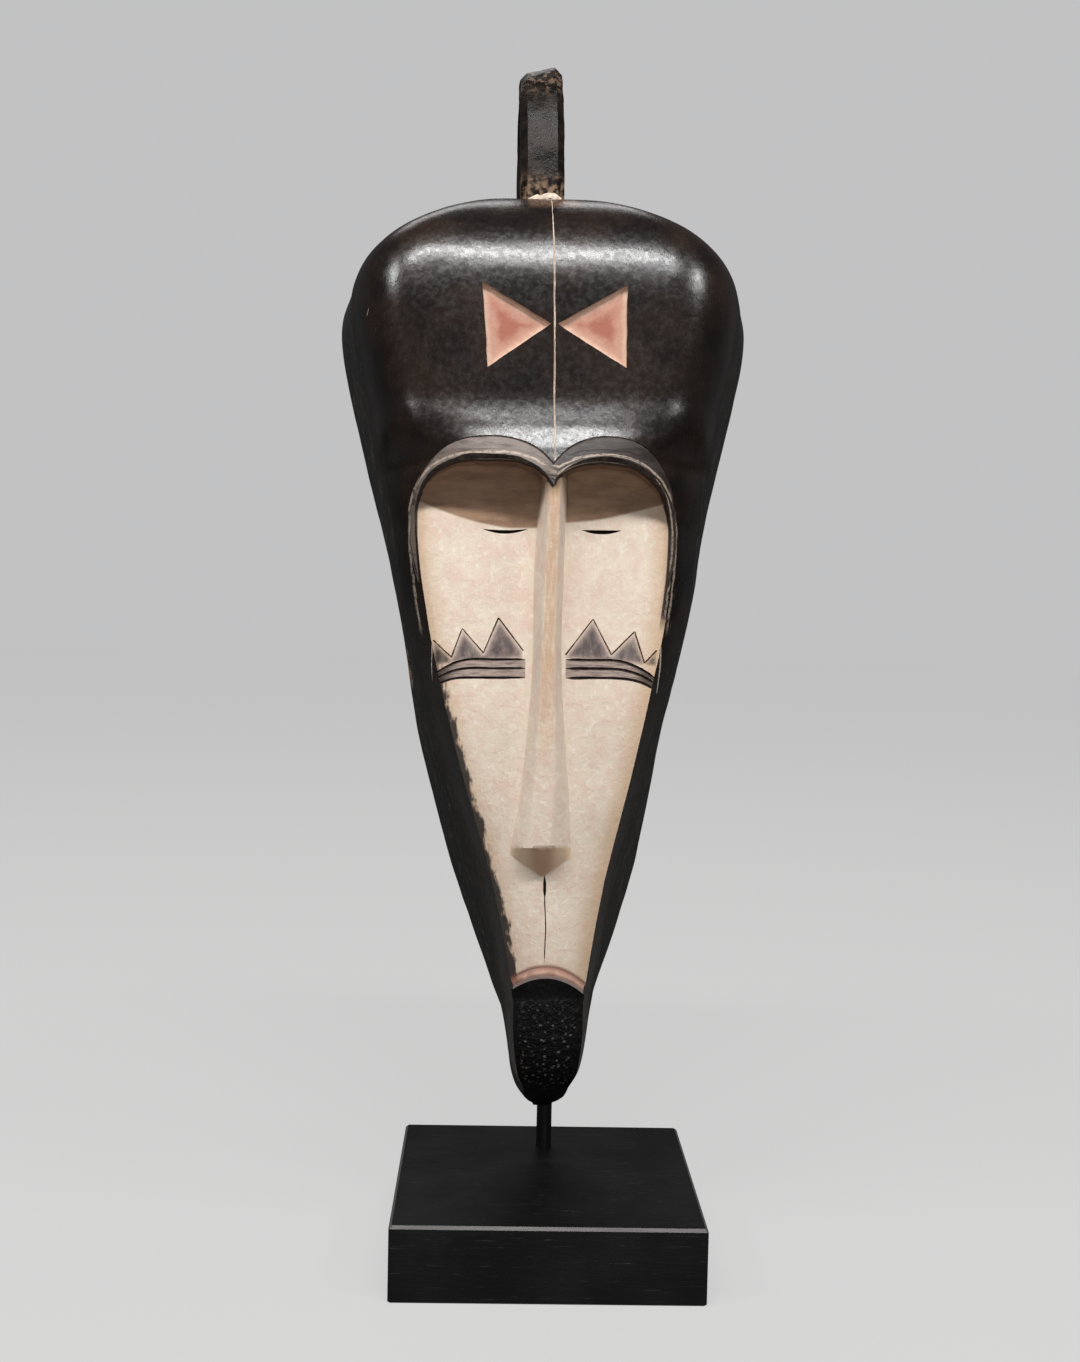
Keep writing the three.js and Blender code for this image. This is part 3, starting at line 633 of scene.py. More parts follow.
def hull_grid():
    """Rows of places around the hull, from the chin to the crown."""
    lower = CHIN_END + CHIN_ROUND
    upper = CROWN_END - CROWN_ROUND
    chin = lower - CHIN_ROUND * slowing(CHIN_ROWS)[::-1]
    middle = mix(lower, upper, np.linspace(0, 1, HULL_ROWS)[1:-1])
    crown = upper + CROWN_ROUND * slowing(CROWN_ROWS)
    z = np.concatenate([[CHIN_END + END_FLAT], chin[1:], middle, crown[:-1],
                        [CROWN_END - END_FLAT]])
    t = np.linspace(0, 1, HULL_TURNS)
    turn = 1 - t + np.sin(2 * math.pi * t) * TURN_EVENING
    zz, tt = np.meshgrid(z, turn, indexing="ij")
    x, depth = hull_point(zz, tt)
    return np.stack([x, depth, zz], axis=-1)


def sideways(places):
    """How far places lie round the side of the mask: 0 in front, 1 at the open back's rim."""
    x, depth, z = np.moveaxis(places, -1, 0)
    return 1 - np.clip(depth / np.maximum(full_depth(z), 1), 0, 1)


def hull_solid():
    """The outside of the mask, smooth in front and streaked by the knife round its sides."""
    grid = hull_grid()
    normal = np.cross(np.gradient(grid, axis=0), np.gradient(grid, axis=1))
    normal /= np.maximum(np.linalg.norm(normal, axis=-1, keepdims=True), 1e-9)
    core = np.array([0, CORE_DEPTH, 0]) + grid * [0, 0, 1]
    normal *= np.sign(np.sum(normal * (grid - core), axis=-1, keepdims=True))
    rough = smooth_step(*SIDE_ROUGH_FROM, sideways(grid))
    relief = bumps(grid, *HULL_SWELL) + rough * bumps(grid, *SIDE_STREAKS)
    inward = HULL_INSET + SIDE_INSET * rough
    calm = np.clip(grid[..., 1:2] / RIM_CALM, 0.5, 1)
    places = grid + normal * (relief - inward)[..., None] * calm
    return ring_solid("mask_carving", places, BLACK)


def spaced(stops, counts):
    """Places between successive stops, with a number of steps in each stretch."""
    parts = [stops[0][None]]
    for start, end, count in zip(stops, stops[1:], counts):
        share = np.linspace(0, 1, count + 1)[1:].reshape(-1, *[1] * np.ndim(start))
        parts.append(mix(start, end, share))
    return np.concatenate(parts)


def face_columns(z):
    """Places of the columns across the face at heights, one row of heights a column."""
    at = np.minimum(z, FACE_SHOULDER)
    margin = CUT_MARGIN * (1 - smooth_step(*RIM_STEP, at))
    foot = nose_middle(at)
    wing = nose_half_width(at)
    ridge = ridge_middle(at)
    flat = ridge_half_width(at)
    stops = [face_middle(at) - face_half_width(at) - margin, foot - wing, ridge - flat, ridge,
             ridge + flat, foot + wing, face_middle(at) + face_half_width(at) + margin]
    return spaced(np.array(stops), FACE_COLUMNS)


def face_levels(x):
    """Heights that the rows of the face follow: under the lip, its edge and its top, the nose's
    apex and front, and the springing and the edge of the brows."""
    lip = lip_edge(x)
    brow = brow_edge(x) + bumps(np.column_stack([x, 0 * x, 0 * x]), BROW_WAVE) - BROW_LAP
    return (lip - FACE_LAP, lip, lip + LIP_HEIGHT, nose_apex(x) - NOSE_UNDERCUT_GAP,
            0 * x + NOSE_FRONT, 0 * x + FACE_SHOULDER - BROW_SPRINGING, brow)


def face_solid():
    """The room in front of the white face. Its places settle on their level and their column,
    which lean on each other, in a few passes."""
    count = sum(FACE_COLUMNS) + 1
    pick = np.arange(count)
    steps = [(i, share) for i, n in enumerate(FACE_ROWS) for share in np.arange(n) / n]
    rows = []
    for i, share in [*steps, (len(FACE_ROWS) - 1, 1)]:
        x = np.zeros(count)
        for _ in range(FACE_PASSES):
            levels = face_levels(x)
            z = mix(levels[i], levels[i + 1], share)
            x = face_columns(z)[pick, pick]
        rows.append(np.stack([x, face_surface(x, z), z], axis=-1))
    back = np.array(rows)
    back[..., 1] += bumps(back, *FACE_RELIEF)
    return front_solid("face_cut", back, WHITE)


def chin_solid():
    """The room in front of the granular chin."""
    u, v = np.meshgrid(np.linspace(-1, 1, CHIN_STEPS), np.linspace(0, 1, CHIN_STEPS))
    x = LIP_X + u * CHIN_CUT["half"]
    z = mix(CHIN_CUT["low"], lip_edge(x), v)
    back = np.stack([x, chin_surface(x, z), z], axis=-1)
    back[..., 1] += bumps(back, *CHIN_GRAIN)
    return front_solid("chin_cut", back, CHIN)


def hollow_solid():
    """The hollow, a gouged half oval in plan that is open behind and domed at its top."""
    low, high = HOLLOW_EVEN
    z = np.concatenate([np.linspace(HOLLOW_FROM, low, HOLLOW_FOOT_ROWS)[:-1],
                        np.linspace(low, high, HOLLOW_ROWS),
                        high + (HOLLOW_TO - high) * slowing(HOLLOW_DOME_ROWS)[1:]])
    dome = rounding(smooth_step(HOLLOW_TO - HOLLOW_DOME, HOLLOW_TO, z), HOLLOW_DOME_POWER)
    close = mix(dome, 1, HOLLOW_TOP_SHARE)[:, None]
    half = (rim_half_width(z) - hollow_wall(z))[:, None] * close
    deep = hollow_depth(z)[:, None] * close
    side, forward = half_oval(1 - np.linspace(0, 1, HOLLOW_TURNS), HOLLOW_POWER)
    arc = np.stack([side * half, mix(HOLLOW_EDGE, deep, forward), z[:, None] + 0 * side * half], -1)
    gouge = bumps(arc, *GOUGES) - GOUGE_INSET
    arc = arc * (1 + gouge[..., None] / GOUGE_RADIUS * [1, 1, 0])
    behind = half * 0 - HOLLOW_BEHIND
    left = np.stack([-half, behind, z[:, None]], -1)
    right = np.stack([half, behind, z[:, None]], -1)
    return ring_solid("hollow_cut", np.concatenate([left, arc, right], axis=1), INSIDE)


def crest_solid():
    """The loop on the crown: a half ellipse of a chamfered section on two legs."""
    inner = CREST["inner"]
    thick = CREST["thick"]
    half = CREST["half"]
    flat = half - CREST_CHAMFER
    shoulder = thick - CREST_CHAMFER
    corners = [(half, 0), (-half, 0), (-half, shoulder), (-flat, thick), (flat, thick),
               (half, shoulder), (half, 0)]
    across, out = spaced(np.array(corners, float), CREST_SECTION)[:-1].T
    angle = np.pad(np.linspace(0, math.pi, CREST_STEPS), 2, "edge")[:, None]
    leg = CREST["z"] - CREST_FOOT
    drop = leg * np.concatenate([[1, 0.5], np.zeros(CREST_STEPS), [0.5, 1]])[:, None]

    def on_loop(across, out):
        depth = CREST["depth"] + (inner[0] + out) * np.cos(angle)
        z = CREST["z"] + (inner[1] + out + CREST_TILT * across) * np.sin(angle) - drop
        return np.stack([CREST["x"] + across + 0 * angle, depth, z], -1)

    places = on_loop(across, out)
    way = places - on_loop(0 * across, thick / 2 + 0 * out)
    way /= np.linalg.norm(way, axis=-1, keepdims=True)
    dents = bumps(places, *CREST_DENTS) - CREST_INSET
    top = smooth_step(*CREST_TOP, np.sin(angle))
    chips = top * (np.minimum(bumps(places, CREST_CHIPPED), 0) - CREST_TOP_INSET)
    return ring_solid("crest", places + way * (dents + chips)[..., None], CREST_WOOD)


def filler_solid():
    """A lumpy ridge of pale filler along the crest's front foot."""
    share = np.linspace(-1, 1, FILLER_STEPS[0])[:, None]
    ahead, up = circle(FILLER_STEPS[1])
    radius = FILLER["radius"] * (1 - FILLER["thinning"] * np.abs(share) ** 3)
    x = FILLER["x"] + share * FILLER["half"] + 0 * up
    depth = FILLER["depth"] + radius * ahead
    z = FILLER["z"] + radius * up + FILLER["bend"] * np.sin(3 * share)
    places = np.stack([x, depth, z], -1)
    lumps = 1 + bumps(places, FILLER_LUMPS)[..., None]
    middle = np.stack([x, 0 * x + FILLER["depth"], 0 * x + FILLER["z"]], -1)
    return ring_solid("filler", middle + (places - middle) * lumps, CREAM_LINE)


def at_depth(outline, depth):
    """Places on an outline seen from the front, all at one depth or each at its own."""
    return np.column_stack([outline[:, 0], np.broadcast_to(depth, len(outline)), outline[:, 1]])


def eye_cutter(eye):
    """A slit with a lens-shaped outline, cut right through the wall."""
    u = np.linspace(-1, 1, EYE_STEPS)
    lens = 1 - u * u
    x = eye["x"] + u * eye["width"] / 2
    middle = eye["z"] - eye["sag"] * lens
    upper = np.column_stack([x, middle + eye["height"] * lens / 2])
    lower = np.column_stack([x, middle - eye["height"] * lens / 2])[-2:0:-1]
    outline = np.concatenate([upper, lower])
    return ring_solid("eye_cut", [at_depth(outline, depth) for depth in EYE_CUT], INSIDE)


def triangle_cutter(corners):
    """A sunk triangle, with sides a little uneven from the knife."""
    outline = spaced(np.array([*corners, corners[0]], float), TRIANGLE_STEPS)[:-1]
    spots = np.column_stack([outline, outline[:, 0] * 0])
    outline = outline + np.column_stack([bumps(spots, wave) for wave in TRIANGLE_WAVES])
    middle = outline.mean(axis=0)
    rings = [mix(middle, outline, share) for share in TRIANGLE_RINGS]
    floor = [at_depth(ring, hull_depth(*ring.T) - TRIANGLE_DEPTH) for ring in rings]
    return ring_solid("triangle_cut", [at_depth(outline, CUT_FRONT), *floor], RED)


def line_cutter(line, depth_at, width=LINE_WIDTH, depth=LINE_DEPTH, region=DARK_LINE,
                wander=LINE_WANDER, ends=0):
    """A V-shaped cut along a line seen from the front, on a surface of the mask. It narrows over
    a length at its ends."""
    line = np.asarray(line, float)
    run = np.concatenate([[0], np.cumsum(np.hypot(*np.diff(line, axis=0).T))])
    steps = max(int(run[-1] / LINE_STEP), 2)
    even = np.unique(np.concatenate([np.linspace(0, run[-1], steps), run]))
    even = even[np.concatenate([[True], np.diff(even) > LINE_LEAST_STEP])]
    line = np.column_stack([np.interp(even, run, line[:, 0]), np.interp(even, run, line[:, 1])])
    spots = np.column_stack([line, line[:, 0] * 0])
    across = np.gradient(line, axis=0)[:, ::-1] * [-1, 1]
    across /= np.linalg.norm(across, axis=1, keepdims=True)
    line = line + across * bumps(spots, (wander, *LINE_WAVE))[:, None]
    fade = np.clip(np.minimum(even, run[-1] - even) / ends, LINE_THINNEST, 1) if ends else 1
    wide = width * (1 + bumps(spots, LINE_WIDTH_WAVE)) * fade
    deep = depth * (1 + bumps(spots, LINE_DEPTH_WAVE)) * fade
    surface = depth_at(*line.T)
    half = ((1 + LINE_MARGIN / deep) * wide / 2)[:, None] * across
    bottom = at_depth(line, surface - deep)
    left = at_depth(line + half, surface + LINE_MARGIN)
    right = at_depth(line - half, surface + LINE_MARGIN)
    return ring_solid("line_cut", np.stack([bottom, left, right], axis=1), region)


def over_arch(arch, steps):
    """Places over an arch, from where the brows meet out to its springing."""
    meeting = math.acos((BROW_MEETING - arch["x"]) / arch["a"])
    springing = math.pi if arch["side"] < 0 else 0
    x = arch["x"] + arch["a"] * np.cos(np.linspace(meeting, springing, steps))
    return np.column_stack([x, arch_top(arch, x)])


def beside_face(side, z, out):
    """Places at heights, so far outside an edge of the face."""
    return np.column_stack([face_middle(z) + side * (face_half_width(z) + out), z])


def brow_line(arch):
    """The incised line over a brow, from where the brows meet out and down to beside the eye."""
    z = np.array(BROW_LINE_ENDS["heights"], float)
    out = (z - BROW_LINE_ENDS["start"]) * BROW_LINE_ENDS["spread"]
    return np.concatenate([over_arch(arch, BROW_LINE_STEPS), beside_face(arch["side"], z, out)])


def rim_line(arch, out):
    """A line outside the rim of the upper face, from where the brows meet down beside it."""
    wider = dict(arch, a=arch["a"] + out, b=arch["b"] + out)
    z = np.linspace(arch["z"], RIM_LINE_LOW, RIM_SIDE_STEPS)[1:]
    return np.concatenate([over_arch(wider, RIM_STEPS), beside_face(arch["side"], z, out)])


def median_groove():
    z = mix(GROOVE["low"], GROOVE["high"], slowing(GROOVE_STEPS))
    return np.column_stack([np.full(GROOVE_STEPS, GROOVE["x"]), z])


def band_line(band, offset):
    x = np.linspace(band["inner"], band["outer"], BAND_STEPS)
    down = band["curl"] * np.maximum(x - band["bend_at"], 0) ** 2
    narrowing = BAND_NARROWING * smooth_step(band["bend_at"], band["outer"], x)
    return np.column_stack([band["side"] * x, BAND_TOP - down - offset * (1 - narrowing)])


def carved_lines():
    """The course of each incised line, the surface that it is cut in, and the form of the cut."""
    yield median_groove(), hull_depth, GROOVE_CUT
    for arch in BROW_LINES:
        yield brow_line(arch), hull_depth, {}
    for arch in (BROW_LEFT, BROW_RIGHT):
        yield over_arch(arch, RIM_STEPS), hull_depth, CHAMFER_CUT
    for arch in (BROW_LEFT, BROW_RIGHT):
        for out in arch["rims"]:
            yield rim_line(arch, out), hull_depth, RIM_CUT
    yield MOUTH_CRACK, face_surface, CRACK_CUT
    yield MOUTH_NOTCH, face_surface, NOTCH_CUT
    for line, width, depth in STROKES:
        yield line, hull_depth, dict(STROKE_CUT, width=width, depth=depth)
    for band in BANDS:
        for offset in BAND_OFFSETS:
            yield band_line(band, offset), face_surface, BAND_CUT
    for line in ZIGZAGS:
        yield line, face_surface, ZIGZAG_CUT


def mask_matrix():
    """From the mask's own frame in millimetres to the stand's frame in metres."""
    turn = Matrix.Rotation(MASK_TURN, 4, "Z")
    lean = Matrix.Rotation(-MASK_LEAN, 4, "X")
    roll = Matrix.Rotation(MASK_ROLL, 4, "Y")
    place = Matrix.Translation(Vector(MASK_FOOT) * MM)
    return place @ turn @ lean @ roll @ Matrix.Scale(MM, 4)


def rod_cutter():
    """The groove and the blind socket for the rod, made round the rod and moved to the mask."""
    to_mask = mask_matrix().inverted()
    x, y = ROD_AT
    span = 100
    low, high = ((to_mask @ Vector((x * MM, y * MM, z * MM))).z for z in (0, span))
    top = (ROD_SOCKET_TOP - low) / (high - low) * span + FIT_GAP
    ring = np.column_stack(circle(ROD_STEPS)) * (ROD_RADIUS + FIT_GAP) * [1, -1]
    rows = [np.column_stack([ring, np.full(ROD_STEPS, z)]) for z in (ROD_GROOVE_FROM, top)]
    thing = ring_solid("rod_cut", rows, INSIDE)
    thing.data.transform(Matrix.Translation((x, y, 0)))
    thing.data.transform(to_mask @ Matrix.Scale(MM, 4))
    return thing


def hole_cutter(side, height):
    """An oval hole through a side wall."""
    ahead, up = circle(HOLE_STEPS)
    depth = SIDE_HOLE["depth"] + SIDE_HOLE["deep"] * ahead
    z = height + SIDE_HOLE["tall"] * up
    along = side * SIDE_HOLE["x"] + np.linspace(-0.5, 0.5, HOLE_RINGS) * SIDE_HOLE["reach"]
    rows = [np.column_stack([np.full(HOLE_STEPS, x), depth, z]) for x in along]
    return ring_solid("hole_cut", rows, INSIDE)


def carve_mask():
    body = hull_solid()
    combine(body, face_solid())
    combine(body, chin_solid())
    for corners in TRIANGLES:
        combine(body, triangle_cutter(corners))
    for eye in EYES:
        combine(body, eye_cutter(eye))
    combine(body, crest_solid(), "UNION")
    combine(body, filler_solid(), "UNION")
    combine(body, hollow_solid())
    for side, height in SIDE_HOLE_HEIGHTS:
        combine(body, hole_cutter(side, height))
    combine(body, rod_cutter())
    for line, depth_at, form in carved_lines():
        combine(body, line_cutter(line, depth_at, **form))
    return body


def inside_distance(places, outline):
    """Distance from places to a closed outline, positive inside it."""
    outline = np.asarray(outline, float)
    ends = np.roll(outline, -1, axis=0)
    best = np.full(len(places), 1e9)
    inside = np.zeros(len(places), bool)
    for a, b in zip(outline, ends):
        run = b - a
        t = np.clip((places - a) @ run / max(run @ run, 1e-12), 0, 1)
        gap = places - a - t[:, None] * run
        best = np.minimum(best, np.einsum("ij,ij->i", gap, gap))
        crosses = (a[1] > places[:, 1]) != (b[1] > places[:, 1])
        if run[1] != 0:
            at = a[0] + (places[:, 1] - a[1]) * run[0] / run[1]
            inside ^= crosses & (places[:, 0] < at)
    return np.sqrt(best) * np.where(inside, 1, -1)


def nearest(places, outlines):
    return np.max([inside_distance(places, outline) for outline in outlines], axis=0)


def strip_outline(middle, half, low, high, steps):
    """The outline of a form between two heights, along its right edge and back along its left."""
    z = np.linspace(low, high, steps)
    right = np.column_stack([middle(z) + half(z), z])
    left = np.column_stack([middle(z) - half(z), z])[::-1]
    return np.concatenate([right, left])


def face_outline():
    right, left = np.split(strip_outline(face_middle, face_half_width, *FACE_AREA), 2)
    x = np.linspace(left[-1, 0], right[0, 0], BROW_STEPS)
    x = x[(x > BROW_LEFT["x"] - BROW_LEFT["a"]) & (x < BROW_RIGHT["x"] + BROW_RIGHT["a"])]
    brows = np.column_stack([x, brow_edge(x)])
    under = np.linspace(right[-1, 0], left[0, 0], LIP_STEPS)[1:-1]
    lip = np.column_stack([under, lip_edge(under)])
    return np.concatenate([left, brows, right, lip])


def brow_outline():
    left, right = (brow_line(arch) for arch in BROW_LINES)
    return np.concatenate([left[::-1], right])


def band_outline(band):
    top, *_, foot = BAND_OFFSETS
    return np.concatenate([band_line(band, top), band_line(band, foot)[::-1]])


def zigzag_outline(zigzag):
    return [*zigzag, (zigzag[-1][0], BAND_TOP - ZIGZAG_FOOT), (zigzag[0][0], BAND_TOP)]


def shade_edge(x):
    """Height of the lower edge of the brown wood under the brows, which is partly painted shadow of
    the brows.
    """
    return np.where(x < NOSE_TIP_X, curve(SHADE_LEFT)(x), curve(SHADE_RIGHT)(x))


def write_markings(mesh):
    """Keeps each point's place and its distances to the painted and carved outlines."""
    places = vertices_of(mesh) * [1, -1, 1]
    x, depth, z = places.T
    seen = places[:, ::2].copy()
    outlines = {
        "face": [face_outline()],
        "brow": [brow_outline()],
        "triangle": TRIANGLES,
        "bands": [band_outline(band) for band in BANDS],
        "zigzag": [zigzag_outline(zigzag) for zigzag in ZIGZAGS],
        "ridge": [strip_outline(ridge_middle, ridge_half_width, *RIDGE_AREA)],
        "nose": [strip_outline(nose_middle, nose_half_width, *NOSE_AREA)],
        "chin": [strip_outline(face_middle, face_half_width, *CHIN_AREA)],
    }
    values = {
        **{name: nearest(seen, several) for name, several in outlines.items()},
        "lip": z - lip_edge(x),
        "shade": z - shade_edge(x),
        "under": z - nose_apex(x),
        "side": sideways(places),
        "behind": hull_depth(x, z) - depth,
    }
    for name, value in values.items():
        layer = mesh.attributes.new(name, "FLOAT", "POINT")
        layer.data.foreach_set("value", value.astype(np.float32))
    layer = mesh.attributes.new("place", "FLOAT_VECTOR", "POINT")
    layer.data.foreach_set("vector", places.astype(np.float32).ravel())


class Paint:
    """Builds the nodes of one material. Lengths in its textures are millimetres, a share runs
    from 0 to 1, and its colour is what has been laid on so far."""

    def __init__(self, name):
        self.material = bpy.data.materials.new(name)
        self.material.use_nodes = True
        self.tree = self.material.node_tree
        self.shader = self.tree.nodes["Principled BSDF"]
        self.place = self.attribute("place", "Vector")
        self.colour = None

    def node(self, kind, inputs, output=0, **settings):
        """Adds a node with its inputs, each by its number or its name, and gives an output."""
        node = self.tree.nodes.new(kind)
        for key, value in settings.items():
            setattr(node, key, value)
        for key, value in inputs.items():
            self.put(node.inputs[key], value)
        return node.outputs[output]

    def put(self, socket, value):
        if isinstance(value, bpy.types.NodeSocket):
            self.tree.links.new(value, socket)
        elif socket.type == "RGBA":
            socket.default_value = (*value, 1)
        else:
            socket.default_value = value

    def attribute(self, name, output="Fac"):
        return self.node("ShaderNodeAttribute", {}, output, attribute_name=name)

    def math(self, operation, a, b=0.0, clamp=False):
        return self.node("ShaderNodeMath", {0: a, 1: b}, operation=operation, use_clamp=clamp)

    def plus(self, a, *others):
        for b in others:
            a = self.math("ADD", a, b)
        return a

    def times(self, a, b):
        return self.math("MULTIPLY", a, b)

    def all_of(self, a, *others):
        """The product of shares."""
        for b in others:
            a = self.math("MULTIPLY", a, b, clamp=True)
        return a

    def level(self, value, low, high, out_low=0.0, out_high=1.0):
        """Value between two levels, eased, as a share between two results."""
        inputs = dict(enumerate((value, low, high, out_low, out_high)))
        return self.node("ShaderNodeMapRange", inputs, interpolation_type="SMOOTHSTEP")

    def between(self, value, rise, fall):
        """A share that rises between one pair of levels and falls between another."""
        return self.all_of(self.level(value, *rise), self.level(value, *fall))

    def marked(self, name, *levels):
        """The share of one of the mesh's markings between two levels."""
        return self.level(self.attribute(name), *levels)

    def axis(self, index):
        return self.node("ShaderNodeSeparateXYZ", {0: self.place}, index)

    def across(self, *levels):
        return self.level(self.axis(0), *levels)

    def forward(self, *levels):
        return self.level(self.axis(1), *levels)

    def upward(self, *levels):
        return self.level(self.axis(2), *levels)

    def scaled(self, vector, sizes):
        return self.node("ShaderNodeVectorMath", {0: vector, 1: sizes}, operation="DIVIDE")

    def texture(self, kind, size, output, **inputs):
        """A texture with features of a size in millimetres, one size or one for each axis."""
        sizes = size if isinstance(size, tuple) else (size,) * 3
        vector = self.scaled(self.place, sizes)
        return self.node(kind, {"Vector": vector, "Scale": 1.0, **inputs}, output)

    def noise(self, size, detail=4.0, roughness=0.55, distortion=0.0):
        return self.texture("ShaderNodeTexNoise", size, "Fac", Detail=detail, Roughness=roughness,
                            Distortion=distortion)

    def cells(self, size):
        return self.texture("ShaderNodeTexVoronoi", size, "Distance")

    def blend(self, share, a, b):
        return self.node("ShaderNodeMix", {0: share, 6: a, 7: b}, 2, data_type="RGBA")

    def coat(self, colour, *shares):
        """Lays a colour over the one that is there, by the product of shares."""
        self.colour = self.blend(self.all_of(*shares), self.colour, colour)

    def finish(self, roughness, bumps, specular=0.5):
        """Sets the shader's inputs. Each bump is a height share and its depth in millimetres."""
        relief = self.plus(0.0, *[self.times(height, depth) for height, depth in bumps])
        normal = self.node("ShaderNodeBump", {"Strength": 1.0, "Distance": MM, "Height": relief})
        self.put(self.shader.inputs["Base Color"], self.colour)
        self.put(self.shader.inputs["Roughness"], roughness)
        self.put(self.shader.inputs["Normal"], normal)
        self.put(self.shader.inputs["Specular IOR Level"], specular)
        return self.material


def black_wood():
    """Polished black-brown forehead, rougher and greyer round the sides, with a matt brow band."""
    p = Paint("mask_black_wood")
    face = p.attribute("face")
    rough_side = p.marked("side", 0.22, 0.62)
    blotch = p.noise(26, 5)
    grain = p.noise((2.4, 7.0, 34), 5, 0.62)
    speck = p.noise(1.2, 3)
    p.colour = p.blend(p.level(blotch, 0.35, 0.7), *FOREHEAD)
    dusty = p.blend(p.level(grain, 0.52, 0.68), *SIDES)
    flecks = p.level(p.noise((1.8, 6.0, 6.0), 5, 0.7), 0.57, 0.66)
    dusty = p.blend(p.all_of(flecks, p.level(grain, 0.42, 0.6), 0.75), dusty, SIDE_FLECKS)
    p.coat(dusty, rough_side, 0.85)
    worn = p.level(p.noise(1.7, 5, 0.7), 0.55, 0.7)
    p.coat(WORN_BLACK, worn, p.level(blotch, 0.42, 0.62), 0.5)
    crown = p.all_of(p.upward(444, 449), p.across(15, 10), p.across(-14, -10), p.forward(66, 71))
    p.coat(CROWN_PATCH, crown, p.level(speck, 0.36, 0.5), 0.8)
    for way, height in SIDE_HOLE_HEIGHTS:
        rub_hole_rim(p, way, height, speck)
    left = p.across(4, -8)
    band = p.all_of(p.marked("brow", 0, 0.8), p.level(face, 0, -0.4))
    smear = p.level(p.noise((9, 9, 2.2), 5, 0.6), 0.48, 0.68)
    band_colour = p.blend(p.all_of(smear, 0.7), p.blend(left, *BROW_BAND), BROW_SMEAR)
    p.coat(band_colour, band, 0.9)
    line_rims(p, face, left)
    scratch = p.level(p.noise((1.0, 3.2, 20), 2, 0.4, 0.6), 0.68, 0.73)
    p.coat(SIDE_SCRATCHES, scratch, rough_side, 0.7)
    roughness = p.plus(p.level(p.noise(3, 5, 0.65), 0.3, 0.75, 0.2, 0.33),
                       p.times(rough_side, 0.6), p.times(band, 0.25))
    bumps = [(blotch, 0.35), (p.noise(5, 4), 0.08), (speck, 0.02),
             (p.all_of(grain, rough_side), 0.9), (p.noise((0.8, 0.8, 9), 4), 0.05),
             (p.noise((6, 6, 2), 5, 0.65), p.times(band, 0.35))]
    return p.finish(roughness, bumps, specular=0.55)


def rub_hole_rim(p, way, height, speck):
    """Pale rubbed wood round the outside of a side hole."""
    off = p.math("DIVIDE", p.math("SUBTRACT", p.axis(1), SIDE_HOLE["depth"]), SIDE_HOLE["deep"])
    above = p.math("DIVIDE", p.math("SUBTRACT", p.axis(2), height), SIDE_HOLE["tall"])
    away = p.plus(p.times(off, off), p.times(above, above))
    on_side = p.level(p.times(p.axis(0), way), 0, 9)
    p.coat(HOLE_RIM, p.level(away, 2.4, 1.5), on_side, p.level(speck, 0.35, 0.5))


def line_rims(p, face, left):
    """Chipped cream lines around the rim of the upper face."""
    outside = p.math("SUBTRACT", p.times(p.noise(6, 4), 1.6), face)
    chipped = p.level(p.noise(2.2, 5, 0.65), 0.36, 0.5, 0.1, 0.9)
    upper = p.upward(236, 246)
    for near, right_only in RIM_PAINT:
        line = p.between(outside, (near - 0.75, near - 0.35), (near + 0.75, near + 0.3))
        part = p.math("SUBTRACT", 1.0, left) if right_only else 1.0
        p.coat(RIM_CREAM, line, upper, chipped, part)


def white_clay():
    """Chalky kaolin with pink mottling, worn to tan wood along the nose and at its edges. Its tan
    edges, the brown under the brows and the tan under the nose are partly painted shade.
    """
    p = Paint("mask_white_clay")
    face = p.attribute("face")
    nose = p.attribute("nose")
    mottle = p.noise(9, 6, 0.65, 0.4)
    fine = p.noise(2.2, 5, 0.6)
    fibre = p.noise((1.2, 1.2, 14), 5)
    p.colour = p.blend(p.level(mottle, 0.42, 0.66), *CLAY)
    p.coat(CLAY_PALE, p.level(p.noise(3.5, 5, 0.6), 0.52, 0.72))
    p.coat(CLAY_SPECKS, p.level(fine, 0.56, 0.75), 0.35)
    # Tan at the face's edges: partly wear, partly painted shade where the face turns away from the
    # light
    soft = p.plus(face, p.times(p.noise(11, 5, 0.6), -7.0))
    p.coat(CLAY_EDGE, p.level(soft, 9, -4, 0, 0.75))
    ragged = p.plus(face, p.times(p.noise((5.0, 5.0, 15.0), 4, 0.6), -12.0))
    p.coat(RIM_BLACK, p.level(ragged, -1, -3), p.across(-5, -12), p.upward(236, 214, 0.1, 1), 0.95)
    # Brown wood under the brows, down to the edge of their cast shadow: partly bare wood, partly
    # painted shadow
    wood = p.blend(p.level(p.noise((14, 14, 4), 5, 0.6), 0.3, 0.7), *BARE_WOOD_AND_BROW_SHADOW)
    p.coat(wood, p.marked("shade", -0.6, 0.9), p.level(nose, 0.6, -0.6), 0.95)
    off_middle = p.math("ABSOLUTE", p.plus(p.axis(0), -NOSE_TIP_X))
    # Tan underside of the nose, darkest along its middle: partly painted shade under the nose
    beneath = p.blend(p.level(off_middle, 1.5, 9), *UNDER_NOSE)
    under = p.all_of(p.marked("under", -0.3, 0.5), p.upward(136, 135.2), p.level(nose, -0.8, 0.4))
    p.coat(beneath, under, 0.95)
    tip = p.between(p.axis(2), (133.4, 134.6), (137.2, 136.2))
    p.coat(NOSE_CHIP, tip, p.level(off_middle, 7, 3.5), p.level(mottle, 0.38, 0.6), 0.75)
    stain_markings(p, fibre)
    redden_lip(p)
    wear_brow_wall(p, fine)
    bumps = [(mottle, 0.35), (fine, 0.22), (p.noise(0.8, 3), 0.06), (fibre, 0.12)]
    return p.finish(p.level(fine, 0.3, 0.7, 0.62, 0.8), bumps)


